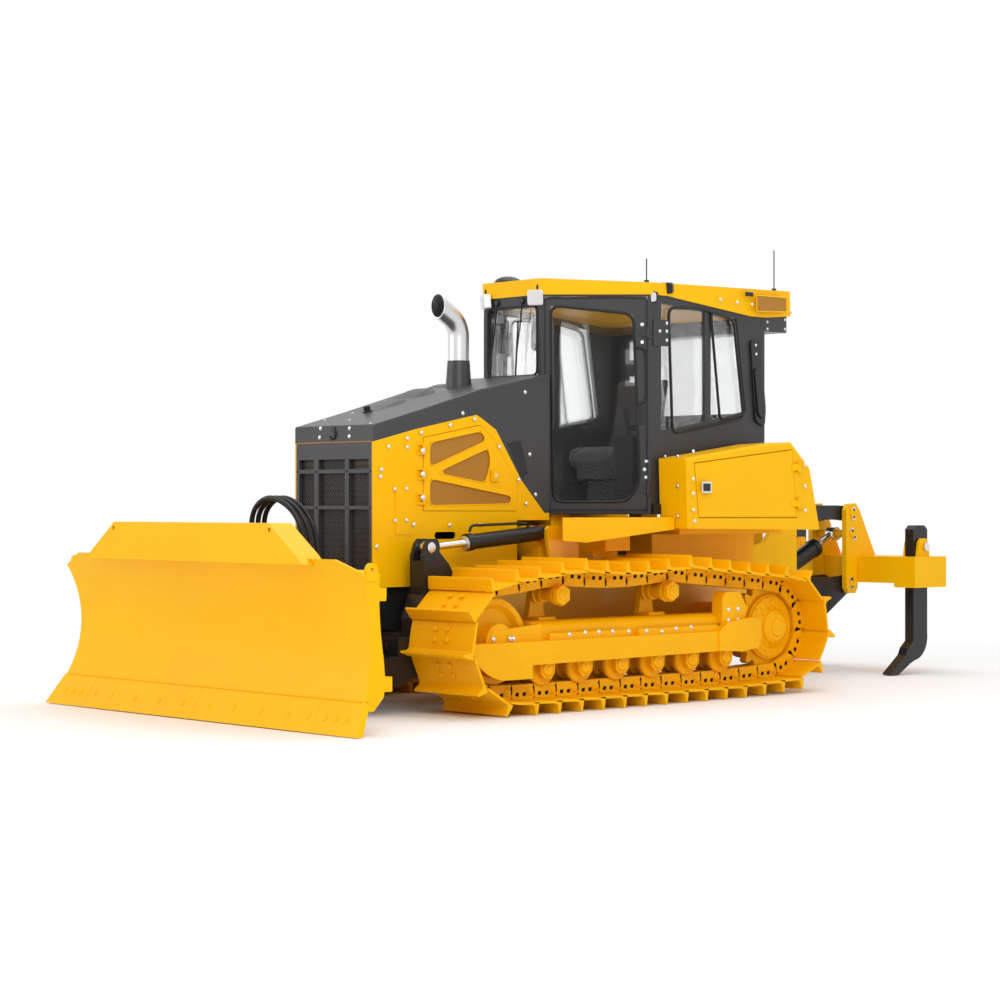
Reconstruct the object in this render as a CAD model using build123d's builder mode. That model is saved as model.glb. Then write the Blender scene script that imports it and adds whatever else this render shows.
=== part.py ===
from build123d import *
import math
import os

# A mid-size crawler bulldozer with a six-way blade and a rear ripper, in millimetres.
# +X is forward, +Y is the machine's left, +Z is up. The grouser tips stand on Z = 0 and the
# origin lies on the ground under the middle of the machine's length and width.

os.makedirs("parts", exist_ok=True)

# ---------------------------------------------------------------- driving dimensions
clear = 6.0          # between pieces that move past each other
fit_gap = 0.05       # radial running clearance of a shaft in its hole
seat_gap = 0.3       # between curved faces that only meet

# Track chain: one closed loop of shoes on two rails of links
track_gauge = 1778.0
shoe_width = 560.0
shoe_count = 37
pitch = 183.6
grouser_height = 62.0
grouser_thick = 26.0
grouser_tip = 11.0
plate_thick = 14.0
plate_lead = 45.0    # shoe plate ahead of its link's first pin
plate_trail = 5.0    # and short of the second pin, so that neighbours lap on the wheels
link_rise = 46.0     # pin line to the shoe plate
rail_depth = 43.0    # pin line to the rail's rolling face
rail_gap = 66.0      # between the two rails
rail_thick = 38.0
bush_radius = 22.0

# Wheels inside the track
sprocket_x, sprocket_z = -870.0, 426.0
sprocket_teeth = 19
idler_z = 430.0
idler_pin_radius = 308.0
roller_count = 6
rollers_behind_idler = 374.0
rollers_ahead_of_sprocket = 520.0
roller_radius = 90.0
roller_lift = 1.0    # the chain hangs this far below the rollers' treads
carrier_behind_idler = 508.0
carrier_ahead_of_sprocket = 1010.0
carrier_radius = 64.0
carrier_z = 690.0
track_frame_half = 105.0
track_frame_top = 535.0

# Hull, hood and cab
hull_half = 330.0
hull_floor, hull_top = 330.0, 740.0
hull_front, hull_rear = 2035.0, -1330.0
hood_half = 376.0
hood_front = 2050.0
hood_rear = 600.0
sheet = 12.0
panel_floor = 740.0
cab_wall = 40.0
cab_floor, cab_top = 1170.0, 2575.0
cab_front_x, cab_front_half = 570.0, 270.0
cab_side_x, cab_side_half = 60.0, 750.0
cab_rear_x, cab_rear_half = -1100.0, 700.0
glass_thick = 8.0
tank_inner, tank_outer = 765.0, 1000.0

# Blade, push frame and their cylinders
lift_pivot_x, lift_pivot_z = 1500.0, 450.0
arm_inner, arm_outer = 462.0, 602.0
lift_y = 540.0
horn_pin_x, horn_pin_z = 1772.0, 976.0
lift_base_x, lift_base_z = 800.0, 1060.0
swivel_x = 2500.0
ram_pin = 20.0
tilt_z = 450.0
edge_bottom_x, edge_bottom_z, edge_bottom_half = 3119.0, 4.0, 1524.0
edge_top_x, edge_top_z, edge_top_half = 3005.0, 181.0, 1474.0
edge_thick = 25.0
mold_deep_x, mold_deep_z, mold_deep_half = 2925.0, 500.0, 1418.0
mold_top_x, mold_top_z, mold_top_half = 3053.0, 939.0, 1172.0
mold_corner_z, mold_corner_half = 861.0, 1453.0
mold_thick = 20.0
guard_low_half, guard_top_half, guard_top_z, guard_top_x = 1002.0, 764.0, 1130.0, 3066.0

# Ripper: two equal links make a parallelogram between the hull and the carriage
ripper_front_x, ripper_rear_x = -1980.0, -2680.0
ripper_low_z, ripper_top_z = 648.0, 1165.0
ripper_rod_z = 1016.0
ripper_base_x, ripper_base_z = -2000.0, 700.0
upright_inner, upright_thick = 140.0, 40.0
beam_front_x, beam_rear_x = -2745.0, -3115.0
beam_low_z, beam_top_z = 660.0, 853.0
beam_half = 700.0
beam_wall = 22.0
shank_y, shank_thick, shank_width = 572.0, 75.0, 165.0
shank_rear_x = -3010.0
shank_pin, shank_pin_z = 20.0, 931.0


def write(piece, name):
    """Labels a finished piece and writes its STEP file."""
    piece.label = name
    export_step(piece, f"parts/{name}.step")


def write_pair(piece, name):
    """Writes the left piece and its mirror image on the machine's right."""
    write(piece, f"{name}_left")
    write(mirror(piece, about=Plane.XZ, mode=Mode.PRIVATE), f"{name}_right")


def write_both(piece, name):
    """Writes a piece and its mirror image on the machine's right as one node."""
    with BuildPart() as both:
        add(piece)
        mirror(about=Plane.XZ)
    write(both.part, name)


def side(y):
    """The plane of a side outline at y: sketch x is +X, sketch y is +Z, and it extrudes to the left."""
    return Plane(origin=(0, y, 0), x_dir=(1, 0, 0), z_dir=(0, -1, 0))


def span(low, high):
    """Extrusion length that takes a sketch on side(low) out to y = high."""
    return -(high - low)


def plate(outline, low, high, holes=()):
    """A plate cut to a side outline, from y = low to y = high, with round holes (x, z, radius)."""
    with BuildPart() as piece:
        with BuildSketch(side(low)):
            with BuildLine():
                Polyline(*outline, close=True)
            make_face()
            for x, z, radius in holes:
                with Locations((x, z)):
                    Circle(radius, mode=Mode.SUBTRACT)
        extrude(amount=span(low, high))
    return piece.part


def rod_y(x, z, radius, low, high):
    """A round bar along Y."""
    with BuildPart() as piece:
        with BuildSketch(side(low)):
            with Locations((x, z)):
                Circle(radius)
        extrude(amount=span(low, high))
    return piece.part


def block(low, high):
    """A box between two opposite corners."""
    with BuildPart() as piece:
        with BuildSketch(Plane.XY.offset(low[2])):
            with Locations(((low[0] + high[0]) / 2, (low[1] + high[1]) / 2)):
                Rectangle(high[0] - low[0], high[1] - low[1])
        extrude(amount=high[2] - low[2])
    return piece.part


def along_plane(start, end):
    """The plane across a bar at its start: sketches on it extrude towards the end."""
    run = Vector(*end) - Vector(*start)
    return Plane(origin=start, z_dir=run)


def bar(start, end, radius):
    """A round bar between two points."""
    with BuildPart() as piece:
        with BuildSketch(along_plane(start, end)):
            Circle(radius)
        extrude(amount=(Vector(*end) - Vector(*start)).length)
    return piece.part


hinge_pin, hinge_knuckle, hinge_eye = 6.0, 13.0, 44.0


def hinge_leaf(x, y, low, high, turn, reach):
    """A knuckle about (x, y) with a leaf that reaches out at the angle turn, without its bore."""
    with BuildPart() as piece:
        with BuildSketch(Plane.XY.offset(low)):
            with Locations((x, y)):
                Circle(hinge_knuckle)
            with Locations(Location((x, y, 0), (0, 0, turn))):
                Rectangle(reach, 10, align=(Align.MIN, Align.CENTER))
        extrude(amount=high - low)
    return piece.part


def hinge_bore(x, y, z):
    """The hole of a door's knuckle."""
    with BuildPart() as piece:
        with BuildSketch(Plane.XY.offset(z - hinge_eye)):
            with Locations((x, y)):
                Circle(hinge_pin + fit_gap)
        extrude(amount=2 * hinge_eye)
    return piece.part


def hinge_post(x, y, z, turn, reach):
    """The fixed half of a hinge: a pin between two lugs, clear of the door's knuckle."""
    half = hinge_eye / 2 + 0.5
    with BuildPart() as piece:
        add(hinge_leaf(x, y, z + half, z + half + 14, turn, reach))
        add(hinge_leaf(x, y, z - half - 14, z - half, turn, reach))
        with BuildSketch(Plane.XY.offset(z - half - 14)):
            with Locations((x, y)):
                Circle(hinge_pin)
        extrude(amount=2 * half + 28)
    return piece.part


# ---------------------------------------------------------------- track loop
ground_pin_z = grouser_height + plate_thick + link_rise
roller_z = ground_pin_z + rail_depth + roller_radius + roller_lift
last_roller = sprocket_x + rollers_ahead_of_sprocket
rear_carrier = sprocket_x + carrier_ahead_of_sprocket
carrier_pin_z = carrier_z + carrier_radius + rail_depth
sprocket_pin_radius = pitch / (2 * math.sin(2 * math.pi / sprocket_teeth))
track_y = track_gauge / 2


def sagging(start, end, sag, steps=24):
    """Points of a shallow hanging curve from start up to, but not including, end."""
    (x0, z0), (x1, z1) = start, end
    ts = [i / steps for i in range(steps)]
    return [(x0 + (x1 - x0) * t, z0 + (z1 - z0) * t - 4 * sag * t * (1 - t)) for t in ts]


def wrapped(centre, radius, start, end, steps=60):
    """Points of an arc about centre, from one angle in degrees up to another."""
    angles = [math.radians(start + (end - start) * i / steps) for i in range(steps)]
    return [(centre[0] + radius * math.cos(a), centre[1] + radius * math.sin(a)) for a in angles]


def pin_path(idler_x):
    """The closed path of the track pins, from the ground under the last roller round the idler."""
    idler, sprocket = (idler_x, idler_z), (sprocket_x, sprocket_z)
    front, rear = (idler_x - carrier_behind_idler, carrier_pin_z), (rear_carrier, carrier_pin_z)
    idler_top = (idler_x, idler_z + idler_pin_radius)
    sprocket_top = (sprocket_x, sprocket_z + sprocket_pin_radius)
    # the chain leaves the last roller and climbs to the sprocket's lower side
    climb = (last_roller - sprocket_x, ground_pin_z - sprocket_z)
    lean = math.degrees(math.atan2(climb[1], climb[0]))
    reach = math.degrees(math.acos(sprocket_pin_radius / math.hypot(*climb)))
    leave = lean - reach
    sprocket_low = (
        sprocket_x + sprocket_pin_radius * math.cos(math.radians(leave)),
        sprocket_z + sprocket_pin_radius * math.sin(math.radians(leave)),
    )
    return (
        sagging((last_roller, ground_pin_z), (idler_x, ground_pin_z), 0)
        + wrapped(idler, idler_pin_radius, -90, 90)
        + sagging(idler_top, front, 10)
        + sagging(front, rear, 33)
        + sagging(rear, sprocket_top, 4)
        + wrapped(sprocket, sprocket_pin_radius, 90, 360 + leave)
        + sagging(sprocket_low, (last_roller, ground_pin_z), 0)
    )


def walk(path, count):
    """Steps round the path in chords of one pitch; returns the pins and how much of the path is left."""
    pins, index = [path[0]], 0
    closed = path + path
    while len(pins) < count:
        here = pins[-1]
        while math.dist(here, closed[index + 1]) < pitch:
            index += 1
        a, b = closed[index], closed[index + 1]
        low, high = 0.0, 1.0
        for _ in range(40):
            t = (low + high) / 2
            point = (a[0] + (b[0] - a[0]) * t, a[1] + (b[1] - a[1]) * t)
            low, high = (t, high) if math.dist(here, point) < pitch else (low, t)
        pins.append(point)
    gap = math.dist(pins[-1], path[0])
    return pins, gap if index < len(path) + 2 else -gap


# the idler slides forward, as the real one does, until the chain closes
low, high = 1400.0, 1800.0
for _ in range(40):
    idler_x = (low + high) / 2
    pins, left_over = walk(pin_path(idler_x), shoe_count)
    low, high = (idler_x, high) if left_over < pitch else (low, idler_x)
print("idler at x", round(idler_x, 1), "last gap", round(left_over, 2))

# ---------------------------------------------------------------- tracks
links = [(Vector(*a), Vector(*b)) for a, b in zip(pins, pins[1:] + pins[:1])]


def along(start, end, u, n):
    """A point of a link: u along it from its first pin and n outwards from the pin line."""
    run = (end - start).normalized()
    outward = Vector(run.Y, -run.X)
    point = start + run * u + outward * n
    return (point.X, point.Y)


rail_outline = ((-16, -rail_depth), (pitch - 2, -rail_depth), (pitch - 26, link_rise), (-4, link_rise))
# a shoe: its bar stands at the leading edge and its trailing lip tucks under the next shoe
shoe_top = link_rise + plate_thick
shoe_outline = (
    (-plate_lead, link_rise),
    (pitch - plate_trail, link_rise - plate_thick / 2),
    (pitch - plate_trail, link_rise + plate_thick / 3),
    (grouser_thick - plate_lead + 16, shoe_top),
    (grouser_thick - plate_lead - 2, shoe_top + grouser_height),
    (grouser_thick - plate_lead - 2 - grouser_tip, shoe_top + grouser_height),
)

with BuildPart() as track:
    for offset_y in (-rail_gap / 2 - rail_thick, rail_gap / 2):
        with BuildSketch(side(track_y + offset_y)):
            for start, end in links:
                with BuildLine():
                    Polyline(*[along(start, end, u, n) for u, n in rail_outline], close=True)
                make_face()
        extrude(amount=span(0, rail_thick))
    with BuildSketch(side(track_y - shoe_width / 2)):
        for start, end in links:
            with BuildLine():
                Polyline(*[along(start, end, u, n) for u, n in shoe_outline], close=True)
            make_face()
    extrude(amount=span(0, shoe_width))
write_pair(track.part, "track")
print("track solids", len(track.part.solids()))

# ---------------------------------------------------------------- sprockets with their final drives
first_pin = min(pins, key=lambda p: p[0])
mesh_angle = math.degrees(math.atan2(first_pin[1] - sprocket_z, first_pin[0] - sprocket_x))
tooth_step = 360 / sprocket_teeth
tooth_thick = rail_gap - 2 * clear
root_radius = sprocket_pin_radius - bush_radius - 6
tip_radius = sprocket_pin_radius + 16
drive_radius, drive_inner = 190.0, hull_half
drive_rim, drive_flange, drive_cap = 198.0, 212.0, 118.0
drive_cap_y = track_y + 122

with BuildPart() as sprocket:
    with BuildSketch(side(track_y - tooth_thick / 2)):
        # each tooth is a blunt wedge between two pins' places
        with BuildLine():
            corners = []
            for tooth in range(sprocket_teeth):
                middle = mesh_angle + (tooth + 0.5) * tooth_step
                for turn, radius in ((-0.36, root_radius), (-0.13, tip_radius),
                                     (0.13, tip_radius), (0.36, root_radius)):
                    angle = math.radians(middle + turn * tooth_step)
                    corners.append((sprocket_x + radius * math.cos(angle),
                                    sprocket_z + radius * math.sin(angle)))
            Polyline(*corners, close=True)
        make_face()
    extrude(amount=span(0, tooth_thick))
    # final drive: a drum from the hull through the sprocket, with a domed cover outside
    with BuildSketch(Plane(origin=(sprocket_x, 0, sprocket_z), x_dir=(0, 1, 0), z_dir=(-1, 0, 0))):
        with BuildLine():
            Polyline(
                (drive_inner, 0), (drive_inner, 150), (track_y - 230, 150),
                (track_y - 190, drive_radius + 25),
                (track_y - 60, drive_radius + 25), (track_y - 60, drive_radius), (track_y + 34, drive_radius),
                (track_y + 34, drive_flange), (track_y + 52, drive_flange), (track_y + 52, drive_rim),
                (track_y + 62, drive_rim), (track_y + 72, drive_cap + 26), (track_y + 88, drive_cap),
                (drive_cap_y - 18, drive_cap - 8), (drive_cap_y, drive_cap - 34), (drive_cap_y, 0),
                close=True,
            )
        make_face()
    revolve(axis=Axis((sprocket_x, 0, sprocket_z), (0, 1, 0)))
write_both(sprocket.part, "sprockets")

# ---------------------------------------------------------------- idlers
idler_tread = idler_pin_radius * math.cos(math.asin(pitch / 2 / idler_pin_radius)) - rail_depth - 1
rail_outer = rail_gap / 2 + rail_thick
with BuildPart() as idler:
    with BuildSketch(Plane(origin=(idler_x, 0, idler_z), x_dir=(0, 1, 0), z_dir=(-1, 0, 0))):
        # half section of the wheel: hub, dished web, two treads and the guide flange between the rails
        flange = rail_gap / 2 - clear
        half = [(0, idler_tread + 22), (flange, idler_tread + 18), (flange, idler_tread),
                (rail_outer, idler_tread), (rail_outer, idler_tread - 34), (34, idler_tread - 60),
                (34, 95), (88, 78), (88, 40)]
        with BuildLine():
            Polyline(*[(track_y + y, r) for y, r in half],
                     *[(track_y - y, r) for y, r in reversed(half[1:])], close=True)
        make_face()
    revolve(axis=Axis((idler_x, 0, idler_z), (0, 1, 0)))
    # axle, carried by the two arms of the track frame's fork
    with BuildSketch(side(track_y - 128)):
        with Locations((idler_x, idler_z)):
            Circle(40)
    extrude(amount=span(0, 256))
write_both(idler.part, "idlers")

# ---------------------------------------------------------------- rollers
first_roller = idler_x - rollers_behind_idler
roller_step = (last_roller - first_roller) / (roller_count - 1)
roller_xs = [first_roller + i * roller_step for i in range(roller_count)]
carrier_xs = (idler_x - carrier_behind_idler, rear_carrier)
carrier_cap, carrier_cap_thick = 70.0, 26.0
post_y, post_thick, post_half = track_y - rail_outer - 74, 40.0, 70.0
roller_flange = roller_radius + 16
collar_half = 34.0
frame_floor = roller_z + 47
with BuildPart() as rollers:
    for x in roller_xs:
        with BuildSketch(Plane(origin=(x, 0, roller_z), x_dir=(0, 1, 0), z_dir=(-1, 0, 0))):
            half = [(0, roller_radius - 18), (rail_gap / 2 - clear, roller_radius - 18),
                    (rail_gap / 2 + 2, roller_radius), (rail_outer + 3, roller_radius),
                    (rail_outer + 5, roller_flange), (rail_outer + 19, roller_flange - 6),
                    (rail_outer + 24, 58), (rail_outer + 24, 0)]
            with BuildLine():
                Polyline(*[(track_y + y, r) for y, r in half],
                         *[(track_y - y, r) for y, r in reversed(half[1:])], close=True)
            make_face()
        revolve(axis=Axis((x, 0, roller_z), (0, 1, 0)))
        # end collars bolt up under the track frame
        for low in (track_y - rail_outer - 66, track_y + rail_outer + 24):
            with BuildSketch(side(low)):
                with BuildLine():
                    Polyline((x - 62, frame_floor), (x + 62, frame_floor), (x + 56, roller_z - 30),
                             (x + 28, roller_z - 58), (x - 28, roller_z - 58), (x - 56, roller_z - 30),
                             close=True)
                make_face()
            extrude(amount=span(0, 42))
    for x in carrier_xs:
        # the wheel just reaches the straight link above it
        spokes = [abs((e - s).normalized().cross(Vector(x, carrier_z) - s).Z) for s, e in links
                  if min(s.X, e.X) - 60 <= x <= max(s.X, e.X) + 60 and s.Y > carrier_z]
        tread = min(spokes) - rail_depth - 1.5
        with BuildSketch(Plane(origin=(x, 0, carrier_z), x_dir=(0, 1, 0), z_dir=(-1, 0, 0))):
            half = [(0, tread - 10), (rail_gap / 2, tread - 10), (rail_gap / 2 + 2, tread),
                    (rail_outer + 2, tread), (rail_outer + 6, tread + 12), (rail_outer + 18, tread + 8),
                    (rail_outer + 22, 44), (rail_outer + 34, 44), (rail_outer + 34, 0)]
            with BuildLine():
                Polyline(*[(track_y + y, r) for y, r in half],
                         *[(track_y - y, r) for y, r in reversed(half[1:])], close=True)
            make_face()
        revolve(axis=Axis((x, 0, carrier_z), (0, 1, 0)))
        # six-sided cover over its outer end
        with BuildSketch(side(track_y + rail_outer + 34)):
            with Locations((x, carrier_z)):
                RegularPolygon(carrier_cap, 6, rotation=30)
        extrude(amount=span(0, carrier_cap_thick), taper=14)
        # the carrier's post, on a foot that lies on top of the track frame
        with BuildSketch(side(post_y)):
            with BuildLine():
                Polyline((x - post_half, track_frame_top), (x + post_half, track_frame_top),
                         (x + 38, carrier_z + 34), (x - 38, carrier_z + 34), close=True)
            make_face()
        extrude(amount=span(0, post_thick))
        add(block((x - post_half, post_y, track_frame_top),
                  (x + post_half, track_y - 9, track_frame_top + 18)))
write_both(rollers.part, "rollers")

# ---------------------------------------------------------------- track frames
guard_y, guard_thick = 1052.0, 16.0
guard_front_x, guard_rear_x = idler_x + 271, last_roller
nose_rear_x, nose_low_z = idler_x - 209, 205.0
guard_low_z, guard_high_z = 285.0, 425.0
fork_front_x = idler_x + 70
frame_front_x, frame_rear_x = idler_x - 283, sprocket_x + 350
with BuildPart() as track_frame:
    # main box girder with a rounded top
    with BuildSketch(Plane.YZ.offset(frame_rear_x)):
        with Locations((track_y, (frame_floor + track_frame_top) / 2)):
            Rectangle(2 * track_frame_half, track_frame_top - frame_floor)
    extrude(amount=frame_front_x - frame_rear_x)
    rounded = track_frame.edges().filter_by(Axis.X).group_by(Axis.Z)[-1]
    fillet(rounded, 58)
    # open underneath round the rollers, with flanges for their collars
    add(block((frame_rear_x - 1, track_y - 96, frame_floor - 1),
              (frame_front_x + 1, track_y + 96, roller_z + 118)),
        mode=Mode.SUBTRACT)
    for low in (track_y - 138, track_y + 96):
        add(block((frame_rear_x, low, frame_floor), (frame_front_x, low + 42, frame_floor + 16)))
    # fork that carries the idler's axle outside the wheel
    for low in (track_y - 128, track_y + 92):
        with BuildSketch(side(low)):
            with BuildLine():
                Polyline((frame_front_x - 40, frame_floor + 15), (fork_front_x, idler_z - 55),
                         (fork_front_x + 30, idler_z), (fork_front_x, idler_z + 62),
                         (frame_front_x - 40, track_frame_top - 12), close=True)
            make_face()
            with Locations((idler_x, idler_z)):
                Circle(40 + fit_gap, mode=Mode.SUBTRACT)
        extrude(amount=span(0, 36))
    # rock guard outside the rollers with its top flange and, ahead of the rollers, a deep nose plate
    with BuildSketch(side(guard_y)):
        with BuildLine():
            Line((nose_rear_x, nose_low_z), (idler_x + 30, nose_low_z))
            nose = ThreePointArc((idler_x + 30, nose_low_z), (idler_x + 172, nose_low_z + 56),
                                 (guard_front_x - 22, guard_low_z + 44))
            Polyline(nose @ 1, (guard_front_x, guard_high_z), (guard_rear_x, guard_high_z),
                     (guard_rear_x, guard_low_z + 14), (nose_rear_x, guard_low_z), (nose_rear_x, nose_low_z))
        make_face()
    extrude(amount=span(0, guard_thick))
    with BuildSketch(side(track_y + track_frame_half - 6)):
        with BuildLine():
            Polyline((guard_rear_x + 60, guard_high_z - 14), (guard_front_x - 40, guard_high_z - 14),
                     (guard_front_x - 40, guard_high_z), (guard_rear_x + 60, guard_high_z), close=True)
        make_face()
    extrude(amount=span(track_y + track_frame_half - 6, guard_y))
    # nose plate's ribs
    for x in (nose_rear_x + 20, nose_rear_x + 120, nose_rear_x + 230):
        with BuildSketch(side(track_y + 92)):
            with Locations((x, 300)):
                Rectangle(14, 160)
        extrude(amount=span(track_y + 92, guard_y + guard_thick / 2))
    # raised saddle covers over the recoil spring, behind and ahead of the front carrier roller
    front_carrier = carrier_xs[0]
    for low_x, high_x in ((front_carrier - 540, front_carrier + 130),
                          (rear_carrier - 400, rear_carrier + 330)):
        with BuildSketch(Plane.YZ.offset(low_x)):
            with BuildLine():
                Polyline((track_y + 20, track_frame_top - 40), (track_y + 122, track_frame_top - 96),
                         (track_y + 150, guard_high_z + 40), (track_y + 150, guard_high_z),
                         (track_y + 20, guard_high_z), close=True)
            make_face()
        extrude(amount=high_x - low_x)
    # stop bracket ahead of the final drive
    with BuildSketch(side(track_y + 60)):
        with BuildLine():
            Polyline(*[(sprocket_x + dx, z) for dx, z in ((370, 470), (570, 470), (570, 640), (540, 672),
                                                          (400, 672), (330, 560))], close=True)
        make_face()
    extrude(amount=span(track_y + 60, track_y + 150))
    # guard arm from the rock guard back to the front of the final drive's cover
    with BuildSketch(side(guard_y - 24)):
        with BuildLine():
            Polyline(*[(sprocket_x + dx, sprocket_z + dz) for dx, dz in (
                (640, -2), (560, 54), (330, 78), (240, 66), (232, -36), (262, -120), (420, -136),
                (640, -126))], close=True)
        make_face()
    extrude(amount=span(guard_y - 24, guard_y + 26))
    with BuildSketch(side(track_y + 70)):
        with BuildLine():
            Polyline(*[(sprocket_x + dx, sprocket_z + dz) for dx, dz in (
                (340, -60), (340, 60), (420, 90), (520, 90), (520, -60))], close=True)
        make_face()
    extrude(amount=span(track_y + 70, guard_y - 20))
    # bore for the pivot shaft
    with BuildSketch(side(track_y - track_frame_half - 1)):
        with Locations((-380, idler_z)):
            Circle(60 + fit_gap)
    extrude(amount=span(0, 2 * track_frame_half - 20), mode=Mode.SUBTRACT)
    add(rod_y(idler_x, idler_z, 40 + fit_gap, track_y - 130, track_y + 130), mode=Mode.SUBTRACT)
write_both(track_frame.part, "track_frames")

# ---------------------------------------------------------------- main frame
pivot_shaft_x = -380.0
equalizer_x = 1180.0
nose_floor = 470.0
with BuildPart() as main_frame:
    # belly and hull: rises towards the nose so that the push frame clears it
    with BuildSketch(side(-hull_half)):
        with BuildLine():
            Polyline((hull_rear, 420), (hull_rear + 120, hull_floor), (1180, hull_floor), (1420, nose_floor),
                     (hull_front, nose_floor + 20), (hull_front, hull_top), (620, hull_top),
                     (560, 900), (hull_rear + 60, 900), (hull_rear, 820), close=True)
        make_face()
    extrude(amount=span(-hull_half, hull_half))
    # engine well, open at the top
    with BuildSketch(Plane.XY.offset(nose_floor + 60)):
        with Locations((1360, 0)):
            Rectangle(1240, 2 * hull_half - 80)
    extrude(amount=hull_top - nose_floor, mode=Mode.SUBTRACT)
    # cross shafts that carry the two track frames
    with BuildSketch(side(-track_y - track_frame_half + 22)):
        with Locations((pivot_shaft_x, idler_z)):
            Circle(60)
    extrude(amount=span(-track_y - track_frame_half + 22, track_y + track_frame_half - 22))
    with BuildSketch(Plane.YZ.offset(equalizer_x - 60)):
        with BuildLine():
            Polyline((-track_y + track_frame_half + 1, 440), (-300, hull_floor + 60), (300, hull_floor + 60),
                     (track_y - track_frame_half - 1, 440), (track_y - track_frame_half - 1, 520),
                     (300, 520), (-300, 520), (-track_y + track_frame_half + 1, 520), close=True)
        make_face()
    extrude(amount=120)
    # hangers for the push frame, between the nose and the arms
    for low in (hull_half - 4, -arm_inner + clear):
        with BuildSketch(side(low)):
            with BuildLine():
                Polyline((lift_pivot_x - 150, 640), (lift_pivot_x - 90, 380), (lift_pivot_x, 350),
                         (lift_pivot_x + 90, 380), (lift_pivot_x + 150, 640), close=True)
            make_face()
        extrude(amount=span(low, low + arm_inner - clear - hull_half + 4))
    with BuildSketch(side(-arm_outer - 4)):
        with Locations((lift_pivot_x, lift_pivot_z)):
            Circle(45)
    extrude(amount=span(-arm_outer - 4, arm_outer + 4))
    # brackets and pins of the lift cylinders' rear eyes
    lug = ((lift_base_x - 240, 900), (lift_base_x + 10, 900), (lift_base_x + 33, lift_base_z - 30),
           (lift_base_x + 33, lift_base_z + 20), (lift_base_x + 16, lift_base_z + 40),
           (lift_base_x - 60, lift_base_z + 40), (lift_base_x - 240, 980))
    for way in (1, -1):
        for near, far in ((hull_half - 20, lift_y - 34), (lift_y + 34, lift_y + 60)):
            add(plate(lug, min(way * near, way * far), max(way * near, way * far)))
        near, far = hull_half - 20, lift_y + 60
        add(block((lift_base_x - 240, min(way * near, way * far), 860),
                  (lift_base_x - 60, max(way * near, way * far), 940)))
        add(rod_y(lift_base_x, lift_base_z, ram_pin, min(way * (near + 20), way * far),
                  max(way * (near + 20), way * far)))
write(main_frame.part, "main_frame")

# ---------------------------------------------------------------- hood, grille and side panels
stack_x, stack_y = 965.0, -80.0
stack_radius, boot_radius, boot_low = 67.5, 84.0, 1975.0
stack_bend_z, stack_bend, stack_turn = 2300.0, 150.0, 58.0
stack_mouth_x = stack_x + 176
hood_crease = ((hood_front, 1710), (1660, 1814), (1190, 1948), (820, 2020), (hood_rear, 2060))
band_low = ((hood_front, 1608), (1716, 1689), (1223, 1787), (1178, 1766))
cowl_edge = ((1058, 1697), (845, 1388), (643, 1180))

with BuildPart() as hood:
    with BuildSketch(side(-hood_half)):
        with BuildLine():
            Polyline(*hood_crease, (hood_rear, 1180), *reversed(cowl_edge), *reversed(band_low), close=True)
        make_face()
    extrude(amount=span(-hood_half, hood_half))
    # hollow underneath and behind, leaving sheet sides and top
    with BuildSketch(side(-hood_half + sheet)):
        with BuildLine():
            Polyline(*[(x - sheet, z - sheet) for x, z in hood_crease[:-1]], (hood_rear - 1, 2060 - sheet),
                     (hood_rear - 1, 1100), (hood_front - sheet, 1100), close=True)
        make_face()
    extrude(amount=span(-hood_half + sheet, hood_half - sheet), mode=Mode.SUBTRACT)
    # flat front box above the grille, with its lip
    with BuildSketch(side(-hood_half + sheet)):
        with BuildLine():
            Polyline((hood_front - 60, 1613), (hood_front, 1613), (hood_front, 1700), (hood_front - 60, 1700),
                     close=True)
        make_face()
    extrude(amount=span(-hood_half + sheet, hood_half - sheet))
    # rounded creases along the top
    creases = hood.edges().filter_by(lambda e: abs(abs(e.center().Y) - hood_half) < 1
                                     and e.center().Z > 1715 and abs(e.tangent_at(0.5).Y) < 0.1
                                     and abs(e.tangent_at(0.5).X) > 0.5)
    fillet(creases.group_by(Axis.Z)[-2:][0], 10)
    with BuildSketch(Plane.XY.offset(boot_low - 75)):
        with Locations((stack_x, stack_y)):
            Circle(boot_radius + seat_gap)
    extrude(amount=200, mode=Mode.SUBTRACT)
write(hood.part, "hood")

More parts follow.
